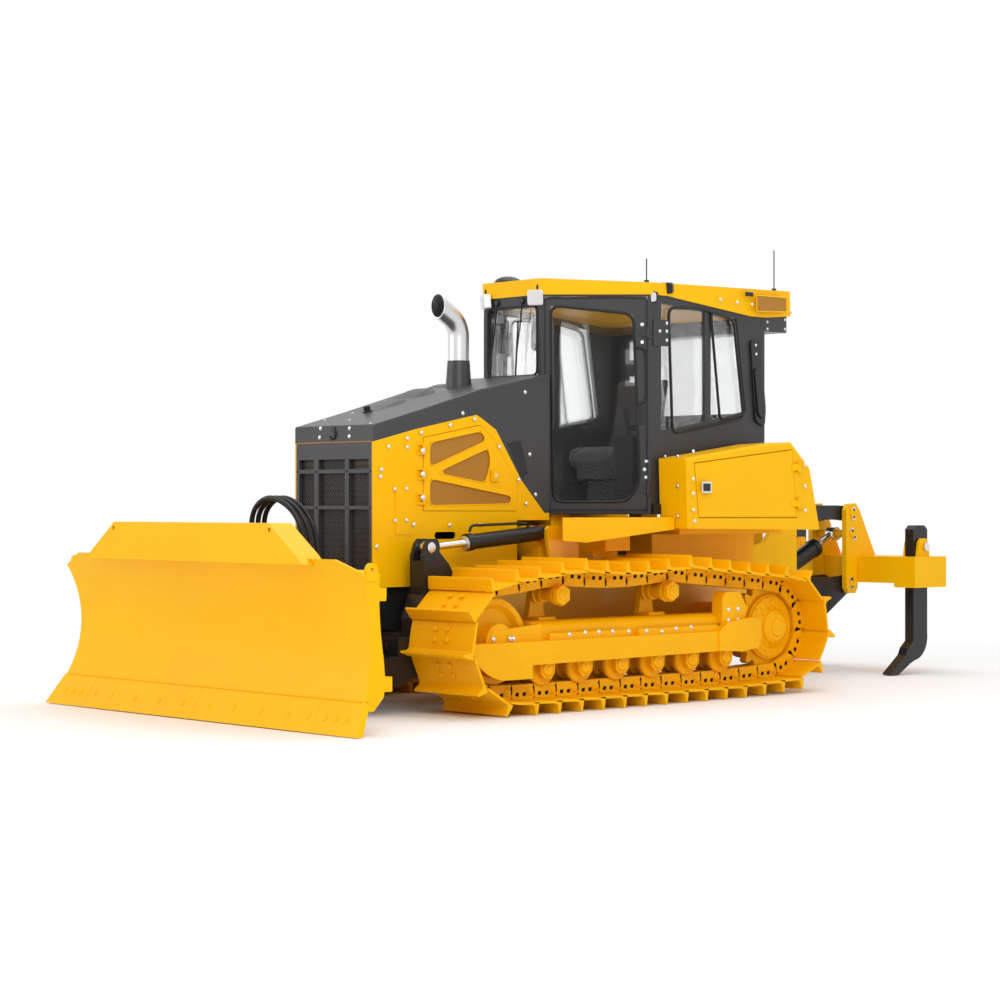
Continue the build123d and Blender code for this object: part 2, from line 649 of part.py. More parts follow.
engine_hinge_x, engine_hinge_y = 1664.0, hood_half + 16
engine_hinge_zs = (1270, 1420, 1570)
door_outline = ((1659, 1641), (1659, 1193), (891, 1191), (868, 1343), (1073, 1641), (1193, 1727))
panel_outline = (*band_low, *cowl_edge, (hood_rear, 1180), (hood_rear, 1135), (880, 1135), (880, panel_floor),
                 (hood_front, panel_floor))
with BuildPart() as side_panel:
    with BuildSketch(side(hood_half - sheet)):
        with BuildLine():
            Polyline(*panel_outline, close=True)
        make_face()
        with BuildLine():
            Polyline(*door_outline, close=True)
        make_face(mode=Mode.SUBTRACT)
    extrude(amount=span(hood_half - sheet, hood_half))
    # stiffening flange behind the door's opening
    with BuildSketch(side(hood_half - sheet - 10)):
        with BuildLine():
            Polyline(*door_outline, close=True)
        make_face()
        offset(amount=14)
        with BuildLine():
            Polyline(*door_outline, close=True)
        door_face = make_face(mode=Mode.PRIVATE)
        offset(door_face, amount=-16, mode=Mode.SUBTRACT)
    extrude(amount=span(hood_half - sheet - 10, hood_half - sheet))
    # slot vent under the door and the bolted service cover ahead of it
    with BuildSketch(side(hood_half - sheet)):
        with Locations((1479, 1045)):
            SlotOverall(175, 44)
    extrude(amount=span(hood_half - sheet, hood_half), mode=Mode.SUBTRACT)
    with BuildSketch(side(hood_half)):
        with BuildLine():
            Polyline((1878, 1327), (1758, 1390), (1758, 1054), (1878, 1054), close=True)
        make_face()
    extrude(amount=span(hood_half, hood_half + 5))
    for z in engine_hinge_zs:
        add(hinge_post(engine_hinge_x, engine_hinge_y, z, -20, 46))
write_pair(side_panel.part, "side_panel")

windows = (
    ((1609, 1610), (1185, 1689), (1140, 1629), (1609, 1458)),
    ((1559, 1426), (1126, 1585), (1103, 1497), (1148, 1364)),
    ((1609, 1393), (929, 1287), (936, 1236), (1609, 1226)),
)
window_corner = 20.0
with BuildPart() as engine_door:
    with BuildSketch(side(hood_half - sheet + 1)):
        with BuildLine():
            Polyline(*door_outline, close=True)
        door_face = make_face(mode=Mode.PRIVATE)
        offset(door_face, amount=-4)
        for outline in windows:
            with BuildLine():
                Polyline(*outline, close=True)
            hole = make_face(mode=Mode.PRIVATE)
            offset(offset(hole, amount=-window_corner, mode=Mode.PRIVATE), amount=window_corner,
                   kind=Kind.ARC, mode=Mode.SUBTRACT)
    extrude(amount=span(hood_half - sheet + 1, hood_half + 3))
    # a mesh sheet backs the three windows
    with BuildSketch(side(hood_half - sheet + 1)):
        for outline in windows:
            with BuildLine():
                Polyline(*outline, close=True)
            hole = make_face(mode=Mode.PRIVATE)
            offset(hole, amount=10, kind=Kind.ARC, mode=Mode.ADD)
    extrude(amount=span(hood_half - sheet + 1, hood_half - sheet + 5))
    for z in engine_hinge_zs:
        add(hinge_leaf(engine_hinge_x, engine_hinge_y, z - hinge_eye / 2, z + hinge_eye / 2, 200, 46))
        add(hinge_bore(engine_hinge_x, engine_hinge_y, z), mode=Mode.SUBTRACT)
write_pair(engine_door.part, "engine_door")

grille_half, grille_low, grille_high = hood_half - sheet, hull_top, 1606.0
grille_thick, mesh_thick = 34.0, 4.0
with BuildPart() as grille:
    with BuildSketch(Plane.YZ.offset(hood_front - grille_thick)):
        with Locations((0, (grille_low + grille_high) / 2)):
            Rectangle(2 * grille_half, grille_high - grille_low)
        # three columns of windows in three rows
        for low_y, high_y in ((-335, -189), (-145, 109), (148, 335)):
            for low_z, high_z in ((1446, 1506), (1226, 1422), (850, 1204)):
                with Locations(((low_y + high_y) / 2, (low_z + high_z) / 2)):
                    Rectangle(high_y - low_y, high_z - low_z, mode=Mode.SUBTRACT)
    extrude(amount=grille_thick)
    # woven mesh behind the windows, as one thin sheet
    with BuildSketch(Plane.YZ.offset(hood_front - grille_thick)):
        with Locations((0, (grille_low + grille_high) / 2)):
            Rectangle(2 * grille_half, grille_high - grille_low)
    extrude(amount=mesh_thick)
write(grille.part, "front_grille")

engine_low, engine_top = nose_floor + 60, 1590.0
with BuildPart() as engine:
    add(block((780, -280, engine_low), (1740, 280, engine_top)))
    # riser to the exhaust, and the radiator block behind the grille
    with BuildSketch(Plane.XY.offset(engine_top + 1)):
        with Locations((stack_x, stack_y)):
            Circle(60)
    extrude(amount=boot_low - engine_top - 1)
    add(block((1830, -hood_half + 30, hull_top), (2000, hood_half - 30, 1600)))
write(engine.part, "engine")

# ---------------------------------------------------------------- exhaust stack
with BuildPart() as stack:
    # a plastic boot on the hood, then a pipe that bends forward and is cut upright at its mouth
    with BuildSketch(Plane.XY.offset(boot_low)):
        with Locations((stack_x, stack_y)):
            Circle(boot_radius)
    with BuildSketch(Plane.XY.offset(2150)):
        with Locations((stack_x, stack_y)):
            Circle(stack_radius + 4)
    loft()
    turn = math.radians(stack_turn)
    bend_end = (stack_x + stack_bend * (1 - math.cos(turn)), stack_bend_z + stack_bend * math.sin(turn))
    with BuildLine(side(stack_y)) as stack_path:
        Line((stack_x, 2140), (stack_x, stack_bend_z))
        JernArc((stack_x, stack_bend_z), (0, 1), stack_bend, -stack_turn)
        Line(bend_end, (bend_end[0] + 190 * math.sin(turn), bend_end[1] + 190 * math.cos(turn)))
    with BuildSketch(Plane(origin=(stack_x, stack_y, 2140), z_dir=(0, 0, 1))):
        Circle(stack_radius)
        Circle(stack_radius - 5, mode=Mode.SUBTRACT)
    sweep(path=stack_path.line)
    add(block((stack_mouth_x, stack_y - 200, stack_bend_z), (stack_mouth_x + 400, stack_y + 200, cab_top + 200)),
        mode=Mode.SUBTRACT)
write(stack.part, "exhaust_stack")

# ---------------------------------------------------------------- cab
half_plan = ((cab_front_x, 0), (cab_front_x, cab_front_half), (cab_side_x, cab_side_half),
             (cab_rear_x, cab_rear_half), (cab_rear_x, 0))
full_plan = (*half_plan[1:4], *[(x, -y) for x, y in reversed(half_plan[1:4])])
door_run = math.hypot(cab_front_x - cab_side_x, cab_side_half - cab_front_half)
eaves = ((-100, cab_top), (-182, 2565), (-938, 2491), (cab_rear_x, 2491))
door_low, door_high = 1192.0, 2556.0
door_thick = 36.0
door_margin = 20.0


def wall(start, end):
    """The plane of an upright wall: sketch x runs from start to end, sketch y is +Z, and it
    extrudes to the right of someone walking from start to end."""
    run = Vector(end[0] - start[0], end[1] - start[1], 0).normalized()
    return Plane(origin=(start[0], start[1], 0), x_dir=run, z_dir=run.cross(Vector(0, 0, 1)))


door_wall = wall((cab_side_x, cab_side_half), (cab_front_x, cab_front_half))
side_wall = wall((cab_rear_x, cab_rear_half), (cab_side_x, cab_side_half))
side_run = math.hypot(cab_side_x - cab_rear_x, cab_side_half - cab_rear_half)
quarter = ((200, 1852), (295, 2470), (1060, 2528), (1060, 1700))
quarter_post = ((560, 1700), (620, 1700), (620, 2560), (560, 2560))
door_glass = ((640, 2505), (112, 2450), (70, 1372), (147, 1250), (625, 1250))
screen_low, screen_high = 1900.0, 2500.0
rear_window = (1850.0, 2460.0)
post = 34.0


def outline_on(plane, outline, depth, grow=0.0, start=0.0):
    """A prism on a wall's plane from a polygon grown by grow, between start and start + depth."""
    with BuildPart() as piece:
        with BuildSketch(plane.offset(start)):
            with BuildLine():
                Polyline(*outline, close=True)
            if grow:
                offset(make_face(mode=Mode.PRIVATE), amount=grow, kind=Kind.INTERSECTION)
            else:
                make_face()
        extrude(amount=depth)
    return piece.part


cab_hinge = door_wall.from_local_coords(Vector(door_margin - 2, 0, -14))
cab_hinge_zs = (1330, 2330)
cab_hinge_turn = math.degrees(math.atan2(door_wall.x_dir.Y, door_wall.x_dir.X))

with BuildPart() as cab_frame:
    # one half of a closed shell on a six-sided plan, mirrored at the end
    with BuildSketch(Plane.XY.offset(cab_floor)):
        with BuildLine():
            Polyline(*half_plan, close=True)
        make_face()
    extrude(amount=cab_top - cab_floor)
    with BuildSketch(Plane.XY.offset(cab_floor + 30)):
        with BuildLine():
            Polyline(*full_plan, close=True)
        offset(make_face(mode=Mode.PRIVATE), amount=-cab_wall, kind=Kind.INTERSECTION)
    extrude(amount=cab_top, mode=Mode.SUBTRACT)
    # the roof comes lower over the rear
    add(plate((*eaves, (cab_rear_x - 1, 2491), (cab_rear_x - 1, 2600), (-100, 2600)), -1, 800),
        mode=Mode.SUBTRACT)
    # door opening, windscreen, quarter window and rear window
    opening = ((door_margin, door_low - 8), (door_run - door_margin, door_low - 8),
               (door_run - door_margin, door_high + 8), (door_margin, door_high + 8))
    add(outline_on(door_wall, opening, 120, start=-40), mode=Mode.SUBTRACT)
    add(outline_on(side_wall, quarter, 80, start=-20)
        - outline_on(side_wall, quarter_post, 26, start=4), mode=Mode.SUBTRACT)
    add(block((cab_front_x - 60, -1, screen_low), (cab_front_x + 10, cab_front_half - post, screen_high)),
        mode=Mode.SUBTRACT)
    add(block((cab_rear_x - 10, -1, rear_window[0]), (cab_rear_x + 60, 560, rear_window[1])),
        mode=Mode.SUBTRACT)
    for z in cab_hinge_zs:
        add(hinge_post(cab_hinge.X, cab_hinge.Y, z, cab_hinge_turn + 220, 44))
    mirror(about=Plane.XZ)
write(cab_frame.part, "cab_frame")
print("cab frame solids", len(cab_frame.part.solids()))

roof_margin = 10.0
roof_rear_x, overhang_z = -1350.0, 2512.0
roof_line = ((590, 2680), (68, 2652), (roof_rear_x, 2682))
aerials = ((5.0, 660.0, 160.0), (-1290.0, 620.0, 283.0))


def roof_seat(x, radius):
    """Height at which a round foot of that radius stands on the roof's sloping top at x."""
    (x0, z0), (x1, z1) = roof_line[:2] if x > roof_line[1][0] else roof_line[1:]
    slope = (z1 - z0) / (x1 - x0)
    return z0 + slope * (x - x0) + abs(slope) * radius + seat_gap


with BuildPart() as roof:
    # side outline of the roof, cut to the cab's plan with a rear overhang
    add(plate((*roof_line, (roof_rear_x - 5, overhang_z), *reversed(eaves), (590, cab_top)),
              -cab_side_half - 20, cab_side_half + 20))
    with BuildSketch(Plane.XY.offset(2400)):
        with BuildLine():
            Polyline(*full_plan[:2], (roof_rear_x, cab_rear_half), (roof_rear_x, -cab_rear_half),
                     *full_plan[-2:], close=True)
        offset(make_face(mode=Mode.PRIVATE), amount=roof_margin, kind=Kind.INTERSECTION)
    extrude(amount=400, mode=Mode.INTERSECT)
    with BuildSketch(Plane.XY.offset(2668)):
        with Locations((-620, 0)):
            RectangleRounded(1180, 1000, 60)
    extrude(amount=30, mode=Mode.SUBTRACT)
write(roof.part, "cab_roof")

# black air intake box under the roof's rear overhang, and what stands on the roof
box_low_z, box_half = 2400.0, 690.0
box_rear_x, box_front_x = roof_rear_x + 12, cab_rear_x - 3
overhang_rise = (overhang_z - eaves[-1][1]) / (roof_rear_x - 5 - cab_rear_x)
box_rear_top, box_front_top = (eaves[-1][1] + overhang_rise * (x - cab_rear_x) - fit_gap
                               for x in (box_rear_x, box_front_x))
with BuildPart() as intake:
    add(plate(((box_rear_x, box_rear_top), (box_front_x, box_front_top), (box_front_x, box_low_z),
               (box_rear_x, box_low_z)), -box_half, box_half))
write(intake.part, "roof_intake")

beacon_x, beacon_y, beacon_radius = 470.0, -150.0, 88.0
with BuildPart() as fittings:
    # low black dome at the front
    with BuildSketch(Plane(origin=(beacon_x, beacon_y, roof_seat(beacon_x, beacon_radius)),
                           x_dir=(1, 0, 0), z_dir=(0, -1, 0))):
        with BuildLine():
            Polyline((0, 0), (beacon_radius, 0), (beacon_radius, 14), (beacon_radius - 14, 30),
                     (beacon_radius - 48, 44), (0, 48), close=True)
        make_face()
    revolve(axis=Axis((beacon_x, beacon_y, 0), (0, 0, 1)))
    # whip aerials on short bases
    for x, y, high in aerials:
        foot = roof_seat(x, 16)
        add(bar((x, y, foot), (x, y, foot + 22), 16))
        add(bar((x, y, foot + 20), (x, y, foot + high), 4))
write(fittings.part, "roof_fittings")

with BuildPart() as cab_glass:
    add(block((cab_front_x - 32, -cab_front_half + post, screen_low),
              (cab_front_x - 32 + glass_thick, cab_front_half - post, screen_high)))
    add(block((cab_rear_x + 18, -560, rear_window[0]), (cab_rear_x + 18 + glass_thick, 560, rear_window[1])))
    panes = outline_on(side_wall, quarter, glass_thick, start=12)
    panes -= outline_on(side_wall, quarter_post, 3 * glass_thick, start=4)
    add(panes)
    add(mirror(panes, about=Plane.XZ, mode=Mode.PRIVATE))
write(cab_glass.part, "cab_glass")

with BuildPart() as door:
    leaf = ((door_margin + 6, door_low), (door_run - door_margin - 8, door_low),
            (door_run - door_margin - 8, door_high), (door_margin + 6, door_high))
    add(outline_on(door_wall, leaf, door_thick))
    add(outline_on(door_wall, door_glass, 100, start=-20), mode=Mode.SUBTRACT)
    # grab handle outside, near the opening edge
    for z in (1560, 1760):
        add(outline_on(door_wall, ((646, z), (662, z), (662, z + 16), (646, z + 16)), 40, start=-38))
    add(outline_on(door_wall, ((646, 1560), (662, 1560), (662, 1776), (646, 1776)), 12, start=-44))
    for z in cab_hinge_zs:
        add(hinge_leaf(cab_hinge.X, cab_hinge.Y, z - hinge_eye / 2, z + hinge_eye / 2,
                       cab_hinge_turn - 16, 74))
        add(hinge_bore(cab_hinge.X, cab_hinge.Y, z), mode=Mode.SUBTRACT)
write_pair(door.part, "door")
print("door solids", len(door.part.solids()))

door_pane = outline_on(door_wall, door_glass, glass_thick, start=14)
write_pair(door_pane, "door_glass")

# ---------------------------------------------------------------- seat and consoles
with BuildPart() as seat:
    add(block((-560, -150, cab_floor + 30), (-260, 150, 1480)))
    add(block((-640, -235, 1480), (-140, 235, 1620)))
    with BuildSketch(side(-225)):
        with BuildLine():
            Polyline((-640, 1560), (-520, 1620), (-610, 2220), (-700, 2240), (-740, 2190), close=True)
        make_face()
    extrude(amount=span(-225, 225))
write(seat.part, "seat")

with BuildPart() as consoles:
    for way in (1, -1):
        add(block((-600, min(way * 300, way * 470), cab_floor + 30), (-60, max(way * 300, way * 470), 1680)))
        add(bar((-130, way * 385, 1670), (-90, way * 385, 1800), 14))
        add(bar((-90, way * 385, 1790), (-86, way * 385, 1860), 26))
    # front dash with its display
    add(block((300, -180, cab_floor + 30), (500, 180, 1560)))
    add(block((360, -120, 1560), (400, 120, 1700)))
write(consoles.part, "consoles")
print("console solids", len(consoles.part.solids()))

# ---------------------------------------------------------------- tanks, platforms
tank_outline = ((3, 1527), (-760, 1630), (-1029, 1646), (-1203, 1494), (-1314, 1064), (-13, 1080))
hatch_outline = ((-80, 1494), (-1029, 1593), (-1075, 1149), (-122, 1153))
hatch_thick = 22.0
hatch_hinge_x, hatch_hinge_y = -1086.0, tank_outer + 17
hatch_hinge_zs = (1240, 1480)
with BuildPart() as tank:
    add(plate(tank_outline, tank_inner, tank_outer))
    top_edge = tank.edges().filter_by(lambda e: abs(e.center().Y - tank_outer) < 1 and e.center().Z > 1550)
    fillet(top_edge, 22)
    # recess of the access door
    with BuildSketch(side(tank_outer - hatch_thick)):
        with BuildLine():
            Polyline(*hatch_outline, close=True)
        offset(make_face(mode=Mode.PRIVATE), amount=6, kind=Kind.INTERSECTION)
    extrude(amount=span(tank_outer - hatch_thick, tank_outer + 1), mode=Mode.SUBTRACT)
    with BuildSketch(side(tank_outer - 150)):
        with BuildLine():
            Polyline(*hatch_outline, close=True)
        offset(make_face(mode=Mode.PRIVATE), amount=-45, kind=Kind.INTERSECTION)
    extrude(amount=span(tank_outer - 150, tank_outer), mode=Mode.SUBTRACT)
    for z in hatch_hinge_zs:
        add(hinge_post(hatch_hinge_x, hatch_hinge_y, z, 200, 50))
    # bracket down to the hull
    add(block((-1150, hull_half, 820), (-150, 560, 1080)))
    add(block((-1150, 500, 1040), (-150, tank_inner + 40, 1078)))
write_pair(tank.part, "rear_tank")
print("tank solids", len(tank.part.solids()))

with BuildPart() as hatch:
    add(plate(hatch_outline, tank_outer - hatch_thick + 1, tank_outer + 2))
    for z in hatch_hinge_zs:
        add(hinge_leaf(hatch_hinge_x, hatch_hinge_y, z - hinge_eye / 2, z + hinge_eye / 2, -15, 64))
        add(hinge_bore(hatch_hinge_x, hatch_hinge_y, z), mode=Mode.SUBTRACT)
write_pair(hatch.part, "access_door")

with BuildPart() as platform:
    add(plate(((990, 1152), (990, 1012), (780, 1000), (0, 1075), (0, 1152)), 655, 900))
    # its front is cut back towards the hood
    with BuildSketch(Plane.XY.offset(990)):
        with BuildLine():
            Polyline((1000, 911), (1000, 640), (748, 640), close=True)
        make_face()
    extrude(amount=200, mode=Mode.SUBTRACT)
    add(block((200, 302, 900), (420, 590, 1060)))
    add(block((200, 580, 940), (420, 700, 1060)))
    add(block((-10, 560, 1100), (600, 700, 1152)))
    # the cab's feet on the hull
    for x in (430, -900):
        add(block((x - 80, 180, 900), (x + 80, 300, cab_floor)))
write_both(platform.part, "platforms")
print("platform solids", len(platform.part.solids()))

# ---------------------------------------------------------------- hydraulic rams
def between(start, end, pin_axis):
    """Where a piece built up +Z with its pins along X stands to run from start to end."""
    run = Vector(*end) - Vector(*start)
    return Plane(origin=start, x_dir=pin_axis, z_dir=run).location


def ram_barrel(radius, rod, reach, eye, width, pin):
    """A ram's barrel up +Z from its pin at the origin: ringed eye, tube and gland."""
    bore = radius - 9
    with BuildPart() as piece:
        with BuildSketch(Plane.XZ):
            with BuildLine():
                Polyline((0, 0.7 * eye), (0.6 * radius, 0.7 * eye), (radius, eye + 14), (radius, reach - 46),
                         (radius + 6, reach - 46), (radius + 6, reach - 4), (radius + 2, reach),
                         (rod + fit_gap, reach), (rod + fit_gap, reach - 34), (bore, reach - 34),
                         (bore, eye + 34), (0, eye + 34), close=True)
            make_face()
        revolve(axis=Axis.Z)
        with BuildSketch(Plane.YZ.offset(-width / 2)):
            Circle(eye)
        extrude(amount=width)
        with BuildSketch(Plane.YZ.offset(-width)):
            Circle(pin + fit_gap)
        extrude(amount=2 * width, mode=Mode.SUBTRACT)
    return piece.part


def ram_rod(radius, rod, piston, length, eye, width, pin):
    """The rod of the same ram: its piston stands at the height piston and its eye at length."""
    bore = radius - 9
    with BuildPart() as piece:
        with BuildSketch(Plane.XZ):
            with BuildLine():
                Polyline((0, piston - 16), (bore - fit_gap, piston - 16), (bore - fit_gap, piston + 16),
                         (rod, piston + 16), (rod, length - 0.6 * eye), (0, length - 0.6 * eye), close=True)
            make_face()
        revolve(axis=Axis.Z)
        with BuildSketch(Plane.YZ.offset(-width / 2)):
            with Locations((0, length)):
                Circle(eye)
        extrude(amount=width)
        # blind pin holes in both faces of the eye
        for low in (-width / 2 - 1, width / 2 - 6):
            with BuildSketch(Plane.YZ.offset(low)):
                with Locations((0, length)):
                    Circle(pin + 3)
            extrude(amount=7, mode=Mode.SUBTRACT)
    return piece.part


def ram_pair(start, end, pin_axis, radius, rod, reach, piston, eye, width, pin):
    """Barrel and rod of a ram in place between its two pins."""
    where = between(start, end, pin_axis)
    length = (Vector(*end) - Vector(*start)).length
    return (ram_barrel(radius, rod, reach, eye, width, pin).moved(where),
            ram_rod(radius, rod, piston, length, eye, width, pin).moved(where))


lift_barrel, lift_rod = ram_pair((lift_base_x, lift_y, lift_base_z), (horn_pin_x, lift_y, horn_pin_z),
                                 (0, 1, 0), 48, 22, 667, 400, 40, 56, ram_pin)
write_pair(lift_barrel, "lift_barrel")
write_pair(lift_rod, "lift_rod")

angle_z = 400.0
angle_base, angle_end = (1990, 430, angle_z), (2640, 330, angle_z)
angle_barrel, angle_rod = ram_pair(angle_base, angle_end, (0, 0, 1), 42, 20, 470, 245, 36, 42, ram_pin)
write_pair(angle_barrel, "angle_barrel")
write_pair(angle_rod, "angle_rod")

tilt_x = 2760.0
tilt_base, tilt_end = (tilt_x, -260, 700), (tilt_x, 330, 740)
tilt_barrel, tilt_rod = ram_pair(tilt_base, tilt_end, (1, 0, 0), 42, 20, 440, 220, 34, 44, ram_pin)
write(tilt_barrel, "tilt_barrel")
write(tilt_rod, "tilt_rod")

rip_base, rip_end = (ripper_base_x, 0, ripper_base_z), (ripper_rear_x, 0, ripper_rod_z)
rip_barrel, rip_rod = ram_pair(rip_base, rip_end, (0, 1, 0), 62, 30, 522, 273, 50, 72, 28.0)
write(rip_barrel, "ripper_barrel")
write(rip_rod, "ripper_rod")

# ---------------------------------------------------------------- push frame
arm_outline = ((1425, 500), (1410, 430), (1440, 372), (1500, 352), (1560, 362), (2010, 168), (2120, 160),
               (2200, 170), (2200, 330), (2060, 335), (1905, 400), (1905, 560), (1850, 700), (1850, 930),
               (1826, 1000), (1800, 1030), (1744, 1030), (1722, 1000), (1722, 950), (1650, 880), (1600, 800),
               (1575, 620), (1580, 480))
nose_low, nose_high = 170.0, 330.0
tongue_low, tongue_high = 222.0, 298.0
swivel_pin = 40.0
with BuildPart() as push_frame:
    for way in (1, -1):
        low, high = sorted((way * arm_inner, way * arm_outer))
        add(plate(arm_outline, low, high, holes=((lift_pivot_x, lift_pivot_z, 45 + fit_gap),)))
        # fork round the ram's eye, with pin heads outside it
        low, high = sorted((way * (lift_y - 32), way * (lift_y + 32)))
        add(plate(((1560, 900), (1900, 900), (1900, 1100), (1560, 1100)), low, high), mode=Mode.SUBTRACT)
        low, high = sorted((way * arm_inner, way * (lift_y - 62)))
        add(plate(((1560, 700), (1900, 700), (1900, 1100), (1560, 1100)), low, high), mode=Mode.SUBTRACT)
        low, high = sorted((way * (lift_y - 72), way * (lift_y - 60)))
        add(rod_y(horn_pin_x, horn_pin_z, 32, low, high))
        low, high = sorted((way * (lift_y + 60), way * (lift_y + 68)))
        add(rod_y(horn_pin_x, horn_pin_z, 30, low, high))
        # lugs of the angle rams stand on the arms
        low, high = sorted((way * 505, way * arm_outer))
        add(block((1935, low, 325), (2045, high, angle_z + 54)))
        low, high = sorted((way * 388, way * 520))
        for z in (angle_z - 54, angle_z + 34):
            add(block((1950, low, z), (angle_base[0] + 34, high, z + 20)))
        with BuildSketch(Plane.XY.offset(angle_z - 54)):
            with Locations((angle_base[0], way * angle_base[1])):
                Circle(ram_pin)
        extrude(amount=108)
    # cross part in front of the tracks, running forward to the nose
    with BuildSketch(Plane.XY.offset(nose_low)):
        with BuildLine():
            Polyline((2090, arm_outer), (2190, arm_outer), (2400, 170), (2400, -170), (2190, -arm_outer),
                     (2090, -arm_outer), (2090, -450), (2130, -400), (2230, -160), (2230, 160), (2130, 400),
                     (2090, 450), close=True)
        make_face()
    extrude(amount=nose_high - nose_low)
    # tongue with the swivel's bore
    with BuildSketch(Plane.XY.offset(tongue_low)):
        with BuildLine():
            Polyline((2380, -110), (2500, -80), (2500, 80), (2380, 110), close=True)
        make_face()
        with Locations((swivel_x, 0)):
            Circle(80)
            Circle(swivel_pin + fit_gap, mode=Mode.SUBTRACT)
    extrude(amount=tongue_high - tongue_low)
    # plate that carries the hoses' ends
    add(block((2240, -330, nose_high), (2326, 330, nose_high + 40)))
write(push_frame.part, "push_frame")
print("push frame solids", len(push_frame.part.solids()))

# ---------------------------------------------------------------- blade swivel
mast_front, mast_rear = 2700.0, 2610.0
tilt_shaft, shaft_length = 60.0, 150.0
with BuildPart() as blade_swivel:
    for low, high in ((tongue_low - 44, tongue_low - 4), (tongue_high + 4, tongue_high + 44)):
        with BuildSketch(Plane.XY.offset(low)):
            with Locations((swivel_x, 0)):
                Circle(80)
            with BuildLine():
                Polyline((2500, -80), (2630, -110), (2630, 110), (2500, 80), close=True)
            make_face()
        extrude(amount=high - low)
    with BuildSketch(Plane.XY.offset(tongue_low - 44)):
        with Locations((swivel_x, 0)):
            Circle(swivel_pin)
    extrude(amount=tongue_high - tongue_low + 100)
    add(block((mast_rear, -110, tongue_low - 44), (mast_front, 110, 600)))
    with BuildSketch(Plane.YZ.offset(mast_front - 50)):
        with BuildLine():
            Polyline((-110, 480), (110, 480), (110, 560), (70, 625), (-180, 750), (-290, 750), (-310, 700),
                     (-290, 650), (-200, 600), close=True)
        make_face()
    extrude(amount=50)
    # pin that carries the tilt ram's barrel, with its collar
    with BuildSketch(Plane.YZ.offset(mast_front)):
        with Locations((tilt_base[1], tilt_base[2])):
            Circle(ram_pin)
    extrude(amount=tilt_x + 56 - mast_front)
    with BuildSketch(Plane.YZ.offset(tilt_x + 46)):
        with Locations((tilt_base[1], tilt_base[2])):
            Circle(32)
    extrude(amount=12)
    # tilt shaft towards the blade
    with BuildSketch(Plane.YZ.offset(mast_front - 10)):
        with Locations((0, tilt_z)):
            Circle(tilt_shaft)
    extrude(amount=shaft_length + 10)
    # arms of the angle rams, with pin heads above and below
    for way in (1, -1):
        for z in (angle_z - 48, angle_z + 24):
            with BuildSketch(Plane.XY.offset(z)):
                with BuildLine():
                    Polyline((mast_rear, way * 100), (mast_front - 4, way * 100),
                             (angle_end[0] + 34, way * (angle_end[1] + 20)),
                             (angle_end[0] - 34, way * (angle_end[1] + 20)), close=True)
                make_face()
                with Locations((angle_end[0], way * (angle_end[1] + 6))):
                    Circle(38)
            extrude(amount=24)
        for z in (angle_z - 60, angle_z + 48):
            with BuildSketch(Plane.XY.offset(z)):
                with Locations((angle_end[0], way * angle_end[1])):
                    Circle(28)
            extrude(amount=12)
write(blade_swivel.part, "blade_swivel")
print("swivel solids", len(blade_swivel.part.solids()))

# ---------------------------------------------------------------- blade
def circle_through(a, b, c):
    """Centre and radius of the circle through three points."""
    (ax, ay), (bx, by), (cx, cy) = a, b, c
    d = 2 * (ax * (by - cy) + bx * (cy - ay) + cx * (ay - by))
    sa, sb, sc = ax * ax + ay * ay, bx * bx + by * by, cx * cx + cy * cy
    x = (sa * (by - cy) + sb * (cy - ay) + sc * (ay - by)) / d
    y = (sa * (cx - bx) + sb * (ax - cx) + sc * (bx - ax)) / d
    return x, y, math.hypot(ax - x, ay - y)


mold_x, mold_z, mold_radius = circle_through((edge_top_x, edge_top_z), (mold_deep_x, mold_deep_z),
                                             (mold_top_x, mold_top_z))


def mold(z, depth=0.0):
    """Point of the moldboard's curve at a height, so far behind its face."""
    return (mold_x - math.sqrt((mold_radius + depth) ** 2 - (z - mold_z) ** 2), z)


def mold_curve(low, high, depth, steps=9):
    """Points up the moldboard's curve, so far behind its face."""
    return [mold(low + (high - low) * i / (steps - 1), depth) for i in range(steps)]


